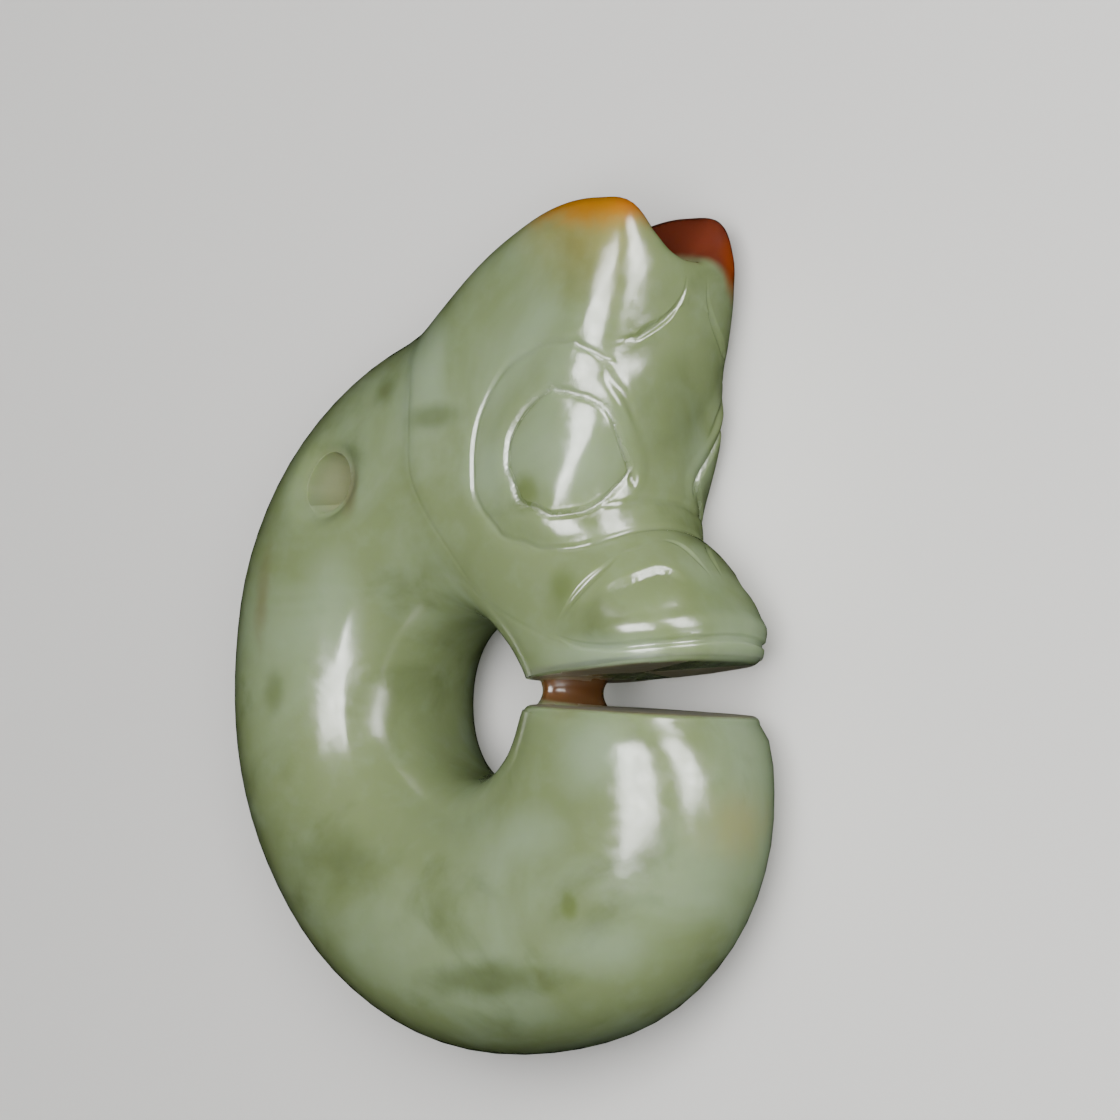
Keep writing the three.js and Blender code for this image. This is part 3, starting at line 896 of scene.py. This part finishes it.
@dataclass
class StoneNodes:
    """A material's nodes, with one short call for each kind of pattern.

    Args:
        tree: The material's node tree.
    """

    tree: bpy.types.ShaderNodeTree

    def __post_init__(self) -> None:
        """Find the tree's shader, and read where each point lies on the piece."""
        self.shader = self.tree.nodes["Principled BSDF"]
        self.place = self.tree.nodes.new("ShaderNodeTexCoord").outputs["Object"]

    def wire(self, source: Socket | float, target: Socket) -> None:
        """Link a source to a target, or set the target where the source is a number.

        Args:
            source: A node's output, or a number.
            target: The node's input that takes it.
        """
        if isinstance(source, float):
            target.default_value = source
        else:
            self.tree.links.new(source, target)

    def maths(self, operation: str, *values: Socket | float) -> Socket:
        """Values put together.

        Args:
            operation: What is done with them.
            values: The values, in the operation's order.

        Returns:
            The result.
        """
        step = self.tree.nodes.new("ShaderNodeMath")
        step.operation = operation
        for value, socket in zip(values, step.inputs):
            self.wire(value, socket)
        return step.outputs[0]

    def total(self, first: Socket, second: Socket) -> Socket:
        """The sum of two values."""
        return self.maths("ADD", first, second)

    def product(self, first: Socket, second: Socket | float) -> Socket:
        """The product of two values."""
        return self.maths("MULTIPLY", first, second)

    def moved(self, operation: str, source: Socket, amount: Sequence[float]) -> Socket:
        """A place shifted or scaled.

        Args:
            operation: What is done with it.
            source: The place.
            amount: By how much, along each axis.

        Returns:
            The new place.
        """
        step = self.tree.nodes.new("ShaderNodeVectorMath")
        step.operation = operation
        step.inputs[1].default_value = amount
        self.wire(source, step.inputs[0])
        return step.outputs[0]

    def noise(
        self, scale: float, detail: float, warp: float = 0.0, shift: float = 0.0,
    ) -> Socket:
        """A noise pattern, moved along by a shift so that no two agree.

        Args:
            scale: Its scale.
            detail: Its octaves.
            warp: Its distortion.
            shift: How far it is moved, in metres.

        Returns:
            The pattern's value.
        """
        pattern = self.tree.nodes.new("ShaderNodeTexNoise")
        pattern.inputs["Scale"].default_value = scale
        pattern.inputs["Detail"].default_value = detail
        pattern.inputs["Distortion"].default_value = warp
        self.wire(self.moved("ADD", self.place, (shift, 0.6 * shift, -0.4 * shift)),
                  pattern.inputs["Vector"])
        return pattern.outputs["Fac"]

    def ranged(
        self, value: Socket, low: float, high: float, start: float = 0.0, end: float = 1.0,
    ) -> Socket:
        """A value mapped smoothly from one range to another.

        Args:
            value: The value.
            low: Where its range starts.
            high: Where its range ends.
            start: What the low end becomes.
            end: What the high end becomes.

        Returns:
            The mapped value.
        """
        step = self.tree.nodes.new("ShaderNodeMapRange")
        step.interpolation_type = "SMOOTHSTEP"
        for name, number in zip(("From Min", "From Max", "To Min", "To Max"),
                                (low, high, start, end)):
            step.inputs[name].default_value = number
        self.wire(value, step.inputs["Value"])
        return step.outputs["Result"]

    def mixed(self, share: Socket, under: Socket, over: Colour) -> Socket:
        """A colour with a second one over it.

        Args:
            share: How much of the second shows.
            under: The first.
            over: The second.

        Returns:
            The mixed colour.
        """
        mix = self.tree.nodes.new("ShaderNodeMix")
        mix.data_type = "RGBA"
        self.wire(share, mix.inputs[0])
        self.wire(under, mix.inputs[6])
        mix.inputs[7].default_value = (*over, 1.0)
        return mix.outputs[2]

    def mark(self, name: str, share: float) -> Socket:
        """A share of the wear that is stored on the stone.

        Args:
            name: The wear's name.
            share: The share.

        Returns:
            The value at each place.
        """
        stored = self.tree.nodes.new("ShaderNodeAttribute")
        stored.attribute_name = name
        return self.product(stored.outputs["Fac"], share)

    def stain_or_painted_light(self, stain_or_painted_light: StainOrPaintedLight, ragged: Socket, middle: Vector, unit: float) -> Socket:
        """How much of a coloured patch shows at each place.

        Args:
            stain_or_painted_light: The patch.
            ragged: The noise that pushes its edge.
            middle: The curl's axis in the frame, in metres.
            unit: Metres for each of the curl's own millimetres.

        Returns:
            The share, which fades at the patch's ragged edge.
        """
        away = self.moved("SUBTRACT", self.place, Vector(stain_or_painted_light.centre) * unit + middle)
        scaled = self.moved("DIVIDE", away, Vector(stain_or_painted_light.radii) * unit)
        length = self.tree.nodes.new("ShaderNodeVectorMath")
        length.operation = "LENGTH"
        self.wire(scaled, length.inputs[0])
        pushed = self.maths("MULTIPLY_ADD", ragged, 2.0 * stain_or_painted_light.ragged, length.outputs["Value"])
        return self.ranged(pushed, 1.0 - stain_or_painted_light.softness + stain_or_painted_light.ragged, 1.0 + stain_or_painted_light.ragged,
                           stain_or_painted_light.strength, 0.0)


@dataclass(frozen=True)
class JadeFinish:
    """Polished nephrite: a pale green body with milky and olive clouds under the polish.

    Args:
        sage: Its ground colour.
        cloud_scale: Scale of the milky clouds.
        patch_scale: Scale of the olive patches.
        mottle_scale: Scale of the fine mottling.
        edge_scale: Scale of the ragged edges of the stains, the painted shade and the painted
            glow.
        roughness: Roughness of the polish.
        roughness_scale: Scale at which that varies.
        refraction: Index of refraction of the stone.
        coat: Weight of the wax over the polish.
        coat_roughness: Roughness of the wax.
        coat_refraction: Index of refraction of the wax.
        translucency: Share of the light that goes into the stone.
        tint: How far red, green and blue light go in, against each other.
        depth: How far the light goes in, in metres.
        ripple: Height of the polish's slow ripple, in millimetres.
        ripple_scale: Scale of the ripple.
        grain: Height of its fine grain.
        grain_scale: Scale of the grain.
        wear: Height of the roughness where the polish is broken.
        wear_scale: Scale of that roughness.
        tooling: Height of the tool's marks in the nostrils.
        stria_scale: Scale of those marks.
        worn_roughness: Roughness that is added where the polish is broken.
        sawn_roughness: Roughness that is added on the sawn faces.
        sawn_share: How much of the sawn faces' colour shows.
    """

    sage: Colour = (0.180, 0.228, 0.104)
    cloud_scale: float = 60.0
    patch_scale: float = 110.0
    mottle_scale: float = 420.0
    edge_scale: float = 240.0
    roughness: float = 0.16
    roughness_scale: float = 900.0
    refraction: float = 1.6
    coat: float = 0.2
    coat_roughness: float = 0.05
    coat_refraction: float = 1.5
    translucency: float = 0.6
    tint: tuple[float, float, float] = (1.0, 1.15, 0.65)
    depth: float = 0.0022
    ripple: float = 0.024
    ripple_scale: float = 520.0
    grain: float = 0.006
    grain_scale: float = 3200.0
    wear: float = 0.11
    wear_scale: float = 2600.0
    tooling: float = 0.02
    stria_scale: float = 700.0
    worn_roughness: float = 0.16
    sawn_roughness: float = 0.35
    sawn_share: float = 0.85

    def material(self, middle: Vector, unit: float) -> bpy.types.Material:
        """The stone's material, with its stains placed about the curl's middle.

        Args:
            middle: The curl's axis in the frame, in metres.
            unit: Metres for each of the curl's own millimetres.

        Returns:
            The material.
        """
        jade = bpy.data.materials.new("polished_jade")
        jade.use_nodes = True
        stone = StoneNodes(jade.node_tree)
        inputs = stone.shader.inputs
        stone.wire(self.colour(stone, middle, unit), inputs["Base Color"])
        stone.wire(self.dullness(stone), inputs["Roughness"])
        for name, value in (
            ("IOR", self.refraction),
            ("Subsurface Weight", self.translucency),
            ("Subsurface Radius", self.tint),
            ("Subsurface Scale", self.depth),
            ("Coat Weight", self.coat),
            ("Coat Roughness", self.coat_roughness),
            ("Coat IOR", self.coat_refraction),
        ):
            inputs[name].default_value = value
        bump = jade.node_tree.nodes.new("ShaderNodeBump")
        bump.inputs["Strength"].default_value = 1.0
        bump.inputs["Distance"].default_value = MM
        stone.wire(self.height(stone), bump.inputs["Height"])
        stone.wire(bump.outputs["Normal"], inputs["Normal"])
        return jade

    def colour(self, stone: StoneNodes, middle: Vector, unit: float) -> Socket:
        """The stone's colour: clouds, patches, mottling, stains, painted shade and glow, and the
        sawn faces.

        Args:
            stone: The material's nodes.
            middle: The curl's axis in the frame, in metres.
            unit: Metres for each of the curl's own millimetres.

        Returns:
            The colour at each place.
        """
        ground = stone.tree.nodes.new("ShaderNodeRGB")
        ground.outputs[0].default_value = (*self.sage, 1.0)
        colour = ground.outputs[0]
        clouds = stone.noise(self.cloud_scale, 4.0, 0.8)
        colour = stone.mixed(stone.ranged(clouds, 0.42, 0.70, 0.0, 0.7), colour, MILKY)
        patches = stone.noise(self.patch_scale, 5.0, 0.5, 0.31)
        colour = stone.mixed(stone.ranged(patches, 0.52, 0.76, 0.0, 0.6), colour, OLIVE)
        mottle = stone.noise(self.mottle_scale, 3.0, 0.0, 0.77)
        colour = stone.mixed(stone.ranged(mottle, 0.45, 0.8, 0.0, 0.2), colour, MILKY)
        ragged = stone.noise(self.edge_scale, 4.0, 0.3, 0.53)
        # Stains, with painted shade on the lower body and a painted glow in the cord hole among
        # them.
        for stain_or_painted_light in STAINS_AND_PAINTED_LIGHT:
            share = stone.stain_or_painted_light(stain_or_painted_light, ragged, middle, unit)
            colour = stone.mixed(share, colour, stain_or_painted_light.colour)
        return stone.mixed(stone.mark("sawn", self.sawn_share), colour, SAWN)

    def dullness(self, stone: StoneNodes) -> Socket:
        """The roughness, which rises where the polish is broken and where the stone is sawn.

        Args:
            stone: The material's nodes.

        Returns:
            The roughness at each place.
        """
        polish = stone.ranged(stone.noise(self.roughness_scale, 2.0, 0.0, 0.19), 0.3, 0.8,
                              self.roughness - 0.03, self.roughness + 0.06)
        worn = stone.total(polish, stone.mark("worn", self.worn_roughness))
        return stone.total(worn, stone.mark("sawn", self.sawn_roughness))

    def height(self, stone: StoneNodes) -> Socket:
        """The fine relief: ripple and grain of the polish, wear and the tool's marks.

        Args:
            stone: The material's nodes.

        Returns:
            The height at each place, in millimetres.
        """
        stria = stone.tree.nodes.new("ShaderNodeTexWave")
        stria.inputs["Scale"].default_value = self.stria_scale
        stria.inputs["Distortion"].default_value = 1.5
        stria.inputs["Detail"].default_value = 1.0
        stone.wire(stone.place, stria.inputs["Vector"])
        ripple = stone.product(stone.noise(self.ripple_scale, 3.0, 0.0, 0.11), self.ripple)
        grain = stone.product(stone.noise(self.grain_scale, 2.0, 0.0, 0.37), self.grain)
        rough = stone.noise(self.wear_scale, 4.0, 0.5, 0.61)
        worn = stone.product(rough, stone.mark("worn", self.wear))
        marks = stone.product(stria.outputs["Fac"], stone.mark("striated", self.tooling))
        return stone.total(stone.total(ripple, grain), stone.total(worn, marks))


@dataclass
class PigDragon:
    """The carving: its skin, carved lines, web and cord hole, in one polished stone.

    Args:
        curl: Its form, without the carved lines.
        finish: Its finish.
        finer: For each time that the skin is made finer, how far beyond a line's own width
            that is done, in millimetres, and how deep against its half width the line is.
        smooth_angle: Least angle of an edge that stays sharp, in degrees.
        web_waist: Width of the web along the snout, in millimetres.
        web_width: Its width through the thickness.
        web_offset: How far it stands from the middle of the thickness.
        web_flare: How much wider it is at jaw and tail.
        web_sink: How far it goes on into jaw and tail.
        web_stretch: How far the sphere that it starts as is stretched before it is cut flat.
        web_cap: Radius of the flat end that this leaves on a sphere of radius 1.
        hole_turn: Turn at which the cord hole lies.
        hole_radius: Its distance from the curl's axis.
        hole_waist: Its width in the middle.
        hole_mouth: Its width at the flanks.
        drill_beyond: How far the drill stands out of the flank.
        drill_overlap: How far it goes past the middle of the thickness.
        dish_depth: How deep the hole's mouths are rounded.
        dish_width: How wide they are rounded.
        bevel_depth: How far the lower lip falls back at the slit.
        bevel_width: How high that starts.
        bevel_below: How far it goes on past the face, as a share of that height.
        bevel_start: How far outside the curl's eye it has come to its full depth.
        sawn_within: How near an end face the stone shows the saw.
    """

    curl: Curl
    finish: JadeFinish
    finer: tuple[tuple[float, float], ...] = ((0.35, 0.2), (0.0, 0.45))
    smooth_angle: float = 80.0
    web_waist: float = 3.0
    web_width: float = 8.0
    web_offset: float = 2.0
    web_flare: float = 1.35
    web_sink: float = 0.6
    web_stretch: float = 1.25
    web_cap: float = 0.6
    hole_turn: float = 236.8
    hole_radius: float = 23.0
    hole_waist: float = 2.8
    hole_mouth: float = 6.4
    drill_beyond: float = 1.0
    drill_overlap: float = 0.2
    dish_depth: float = 0.7
    dish_width: float = 1.8
    bevel_depth: float = 0.45
    bevel_width: float = 2.0
    bevel_below: float = 0.2
    bevel_start: float = 4.0
    sawn_within: float = 0.1

    def place_in_frame(self, points: Array) -> Vector:
        """Where the curl's middle comes, so that the box stands on the origin.

        Args:
            points: The stone's points about the curl's middle, in millimetres.

        Returns:
            The middle in the frame, in metres.
        """
        low, high = points.min(0), points.max(0)
        return Vector((
            -(low[0] + high[0]) / 2.0, -(low[1] + high[1]) / 2.0,
            self.curl.half - self.curl.rest_trim,
        )) * MM

    def hole_centre(self) -> Array:
        """The cord hole's axis, x and y."""
        angle = -math.radians(self.hole_turn)
        return self.hole_radius * self.curl.unit * np.array([math.cos(angle), math.sin(angle)])

    def near_carving(self, reach: float, steepness: float) -> Callable[[Array], Array]:
        """A test for points near a carved line or the cord hole's mouth.

        Args:
            reach: How far beyond the line's own width still counts as near, in millimetres.
            steepness: Least share of its half width that a line that counts is deep.

        Returns:
            The test, which takes points and gives a truth value for each.
        """
        def near(points: Array) -> Array:
            """Whether each point is near a carved line or the hole's mouth.

            Args:
                points: Points of the form, in millimetres.

            Returns:
                A truth value for each.
            """
            chosen = np.zeros(len(points), bool)
            for line in carved_lines():
                sharp = line.cut in (Cut.VEE, Cut.GOUGE, Cut.LEDGE)
                if sharp and abs(line.depth) >= steepness * line.half_width:
                    chosen |= line.relief(self.curl, points)[1] < line.half_width + reach
            away = np.linalg.norm(points[:, :2] - self.hole_centre(), axis=1)
            return chosen | (np.abs(away - self.hole_mouth / 2.0) < reach + MARGIN / 2.0)
        return near

    def build(self) -> tuple[bpy.types.Object, Vector]:
        """Model the stone and put it in the frame.

        Returns:
            The stone and the curl's middle in the frame, in metres.
        """
        skin = StoneSkin(self.curl)
        stone = skin.blank("carved_jade")
        for reach, steepness in self.finer:
            skin.refine(stone, self.near_carving(reach, steepness))
        places = skin.places(read_points(stone))
        points = self.curl.points(**places)
        middle = self.place_in_frame(points)
        normals = self.curl.normals(places["turn"], places["around"])
        carved = points + normals * self.relief(points)[:, None]
        write_points(stone, carved * MM)
        self.cut_and_join(stone)
        self.mark_wear(stone)
        shaped = read_points(stone) + np.array(middle)
        shaped[:, 2] = np.maximum(shaped[:, 2], 0.0)
        write_points(stone, shaped)
        self.dress(stone, middle)
        return stone, middle

    def relief(self, points: Array) -> Array:
        """Height of the carving over the form.

        Args:
            points: Points of the form, in millimetres.

        Returns:
            The heights, in millimetres, negative where stone is cut away.
        """
        cuts = np.zeros(len(points))
        forms = np.zeros(len(points))
        for line in carved_lines():
            height, _ = line.relief(self.curl, points)
            if line.cut in (Cut.VEE, Cut.GOUGE):
                cuts = np.minimum(cuts, height)
            else:
                forms += height
        away = np.linalg.norm(points[:, :2] - self.hole_centre(), axis=1)
        rim = np.clip((away - self.hole_mouth / 2.0) / self.dish_width, 0.0, 1.0)
        dish = self.dish_depth * (1.0 - rim) ** 2
        radius = np.hypot(points[:, 0], points[:, 1])
        face = self.curl.face_height(np.ones(1), radius, points[:, 2])
        over = (points[:, 1] - face) / self.bevel_width
        beside = smooth_step((points[:, 0] - self.curl.curl_eye / 2.0) / self.bevel_start)
        bevel = self.bevel_depth * np.clip(1.0 - over, 0.0, 1.0) * beside
        bevel *= over > -self.bevel_below
        return cuts + forms - dish - bevel

    def mark_wear(self, stone: bpy.types.Object) -> None:
        """Store on each vertex how worn, how striated and how rough from the saw it is.

        Args:
            stone: The stone, about the curl's middle.
        """
        points = read_points(stone) / MM
        marks = {
            name: line.relief(self.curl, points)[0] for name, line in worn_places().items()
        }
        radius = np.hypot(points[:, 0], points[:, 1])
        near_face = np.full(len(points), FAR)
        for side in (np.ones(1), -np.ones(1)):
            face = self.curl.face_height(side, radius, points[:, 2])
            near_face = np.minimum(near_face, np.abs(points[:, 1] - face))
        marks["sawn"] = (near_face < self.sawn_within) & (points[:, 0] > self.curl.curl_eye / 2.0)
        for name, values in marks.items():
            stored = stone.data.attributes.new(name, "FLOAT", "POINT")
            stored.data.foreach_set("value", np.asarray(values, np.float32))

    def cut_and_join(self, stone: bpy.types.Object) -> None:
        """Drill the cord hole and leave the web standing in the slit.

        Args:
            stone: The stone, about the curl's middle.
        """
        reach = self.curl.half + self.drill_beyond
        past = self.drill_overlap
        for side in (1.0, -1.0):
            bpy.ops.object.select_all(action="DESELECT")
            bpy.ops.mesh.primitive_cone_add(
                vertices=64, radius1=self.hole_waist / 2.0 * MM,
                radius2=self.hole_mouth / 2.0 * MM, depth=(reach + past) * MM,
                location=(*(self.hole_centre() * MM), side * (reach - past) / 2.0 * MM),
                rotation=(0.0 if side > 0 else math.pi, 0.0, 0.0))
            self._boolean(stone, bpy.context.object, "DIFFERENCE")
        self._boolean(stone, self.web(), "UNION")

    def web(self) -> bpy.types.Object:
        """The waisted post between jaw and tail, long through the thickness.

        Returns:
            The post, about the curl's middle.
        """
        reach = self.curl.slit_inner / 2.0 + self.web_sink
        bpy.ops.object.select_all(action="DESELECT")
        bpy.ops.mesh.primitive_uv_sphere_add(segments=48, ring_count=24, radius=1.0)
        post = bpy.context.object
        post.rotation_euler = (math.pi / 2.0, 0.0, 0.0)
        bpy.ops.object.transform_apply(rotation=True)
        points = read_points(post)
        height = np.clip(points[:, 1] * self.web_stretch, -1.0, 1.0)
        spread = np.hypot(points[:, 0], points[:, 2])
        rim = np.maximum(spread, TINY)
        across = np.where(np.abs(height) < 1.0, 1.0, spread / self.web_cap)
        radius = self.web_waist / 2.0 * (1.0 + (self.web_flare - 1.0) * height**2) * across
        inner = self.curl.inner_wall(np.zeros(1))[0] * self.curl.curl_eye / 2.0
        shaped = np.stack([
            points[:, 0] / rim * radius + inner + self.web_waist / 2.0 * self.web_flare,
            height * reach,
            points[:, 2] / rim * radius * self.web_width / self.web_waist + self.web_offset,
        ], axis=1)
        write_points(post, shaped * MM)
        return post

    @staticmethod
    def _boolean(stone: bpy.types.Object, tool: bpy.types.Object, operation: str) -> None:
        """Cut the tool from the stone or join it to the stone, and remove the tool.

        Args:
            stone: The stone.
            tool: What is cut from it or joined to it.
            operation: Which of the two.
        """
        select_only(stone)
        step = stone.modifiers.new("tool", "BOOLEAN")
        step.operation = operation
        step.solver = "EXACT"
        step.object = tool
        bpy.ops.object.modifier_apply(modifier=step.name)
        bpy.data.objects.remove(tool, do_unlink=True)

    def dress(self, stone: bpy.types.Object, middle: Vector) -> None:
        """Smooth the skin, give it its material and let it stand for the plain solid.

        Args:
            stone: The stone, in its place.
            middle: The curl's axis in the frame, in metres.
        """
        stone.data.materials.clear()
        stone.data.materials.append(self.finish.material(middle, self.curl.unit * MM))
        select_only(stone)
        bpy.ops.object.shade_smooth_by_angle(angle=math.radians(self.smooth_angle))
        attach(stone, "root")
        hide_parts(STONE_NODE)


@dataclass(frozen=True)
class SoftLight:
    """One softbox.

    Args:
        name: Its name.
        direction: From the carving towards the light.
        distance: In metres.
        width: Its short side.
        length: Its long side, which lies along Y.
        power: In watts.
        sheen: Watts more that only its reflection in the polish shows.
        mirrored: Whether the polish mirrors it at all.
        roll: Degrees by which its top leans over, away from the snout.
    """

    name: str
    direction: tuple[float, float, float]
    distance: float
    width: float
    length: float
    power: float
    sheen: float = 0.0
    mirrored: bool = True
    roll: float = 18.0

    def hang(self, target: Vector) -> None:
        """Place the softbox and turn it to the target.

        Args:
            target: What it is turned to.
        """
        back = Vector(self.direction).normalized()
        aside = Vector((0.0, 1.0, 0.0)).cross(back).normalized()
        turned = Matrix((aside, back.cross(aside), back)).transposed().to_4x4()
        leant = turned @ Matrix.Rotation(math.radians(self.roll), 4, "Z")
        place = Matrix.Translation(target + back * self.distance) @ leant
        self._lamp(self.name, self.power, place).visible_glossy = self.mirrored
        if self.sheen > 0.0:
            glint = self._lamp(self.name + "_sheen", self.sheen, place)
            glint.visible_diffuse = False

    def _lamp(self, name: str, power: float, place: Matrix) -> bpy.types.Object:
        """One area lamp of the softbox's size.

        Args:
            name: Its name.
            power: In watts.
            place: Its place and turn.

        Returns:
            The lamp.
        """
        lamp = bpy.data.lights.new(name, "AREA")
        lamp.shape = "RECTANGLE"
        lamp.size, lamp.size_y, lamp.energy = self.width, self.length, power
        box = bpy.data.objects.new(name, lamp)
        bpy.context.scene.collection.objects.link(box)
        box.matrix_world = place
        box.visible_camera = False
        return box


@dataclass
class Studio:
    """The pale floor, the softboxes and the camera.

    Args:
        middle: The curl's middle in the frame, in metres.
        turned: Degrees by which the camera is turned from the right flank to the snout.
        from_below: Degrees by which it looks up towards the ears.
        camera_distance: Its distance from the middle, in metres.
        lens: Its focal length, in millimetres.
        axis_pixel: Where the middle comes in the picture.
        image_side: Pixels along the picture's side.
        sensor: Width of the sensor, in millimetres.
        clip: Nearest thing that it sees, in metres.
        floor_side: Side of the floor, in metres.
        floor_colour: Colour of the floor.
        floor_roughness: Roughness of the floor.
        surround_colour: Colour of the even surround.
        surround: Strength of the even surround.
        lights: The softboxes.
    """

    middle: Vector
    turned: float = 37.0
    from_below: float = 3.5
    camera_distance: float = 0.4
    lens: float = 145.0
    axis_pixel: tuple[float, float] = (505.0, 697.0)
    image_side: float = 1120.0
    sensor: float = 36.0
    clip: float = 0.01
    floor_side: float = 4.0
    floor_colour: Colour = (0.62, 0.61, 0.59)
    floor_roughness: float = 0.75
    surround_colour: Colour = (0.90, 0.92, 0.90)
    surround: float = 0.13
    lights: Sequence[SoftLight] = (
        SoftLight("softbox_by_the_camera", (0.46, 0.03, 0.88), 0.62, 0.42, 0.44, 6.6, 30.0),
        SoftLight("softbox_low_right", (0.975, 0.32, 0.06), 0.50, 0.22, 0.35, 1.9, 16.0),
        SoftLight("overhead_fill", (0.30, 0.20, 1.0), 0.95, 1.0, 1.0, 1.2, mirrored=False),
    )

    def build(self) -> None:
        """Set up the floor, the lights and the camera."""
        self._floor()
        self._world()
        for light in self.lights:
            light.hang(self.middle)
        self._camera()

    def _floor(self) -> None:
        """A plain pale floor at the carving's foot, which neither mirrors nor shades it."""
        bpy.ops.object.select_all(action="DESELECT")
        bpy.ops.mesh.primitive_plane_add(size=self.floor_side, location=(0.0, 0.0, 0.0))
        floor = bpy.context.object
        floor.name = "pale_floor"
        paint = bpy.data.materials.new("pale_floor")
        paint.use_nodes = True
        shader = paint.node_tree.nodes["Principled BSDF"]
        shader.inputs["Base Color"].default_value = (*self.floor_colour, 1.0)
        shader.inputs["Roughness"].default_value = self.floor_roughness
        floor.data.materials.append(paint)
        floor.visible_glossy = floor.visible_diffuse = floor.visible_shadow = False

    def _world(self) -> None:
        """A dim even surround, which the polish doesn't mirror."""
        world = bpy.context.scene.world or bpy.data.worlds.new("surround")
        bpy.context.scene.world = world
        world.use_nodes = True
        sky = world.node_tree.nodes["Background"]
        sky.inputs["Color"].default_value = (*self.surround_colour, 1.0)
        sky.inputs["Strength"].default_value = self.surround
        world.cycles_visibility.glossy = False

    def _camera(self) -> None:
        """The camera at the photograph's angle, ears up and the right flank towards it."""
        turn, below = math.radians(self.turned), math.radians(-self.from_below)
        back = Vector((math.sin(turn) * math.cos(below), math.sin(below),
                       math.cos(turn) * math.cos(below)))
        right = Vector((math.cos(turn), 0.0, -math.sin(turn)))
        facing = Matrix((right, back.cross(right), back)).transposed()
        focal = self.lens / self.sensor * self.image_side
        half = self.image_side / 2.0
        ray = facing @ Vector((self.axis_pixel[0] - half, half - self.axis_pixel[1], -focal))
        swing = ray.rotation_difference(-back).to_matrix()
        camera = bpy.data.objects.new("camera", bpy.data.cameras.new("camera"))
        bpy.context.scene.collection.objects.link(camera)
        camera.data.lens, camera.data.sensor_width = self.lens, self.sensor
        camera.data.clip_start = self.clip
        place = Matrix.Translation(self.middle + back * self.camera_distance)
        camera.matrix_world = place @ (swing @ facing).to_4x4()
        bpy.context.scene.camera = camera


def main() -> None:
    """Build the carving and its studio."""
    logging.basicConfig(level=logging.INFO, format="%(name)s: %(message)s")
    height = (CAD_HIGH.y - CAD_LOW.y) / MM
    dragon = PigDragon(Curl(height=height), JadeFinish())
    stone, middle = dragon.build()
    stone.data.calc_loop_triangles()
    LOG.info("%s: %d triangles", stone.name, len(stone.data.loop_triangles))
    Studio(middle).build()


if __name__ == "__main__":
    main()
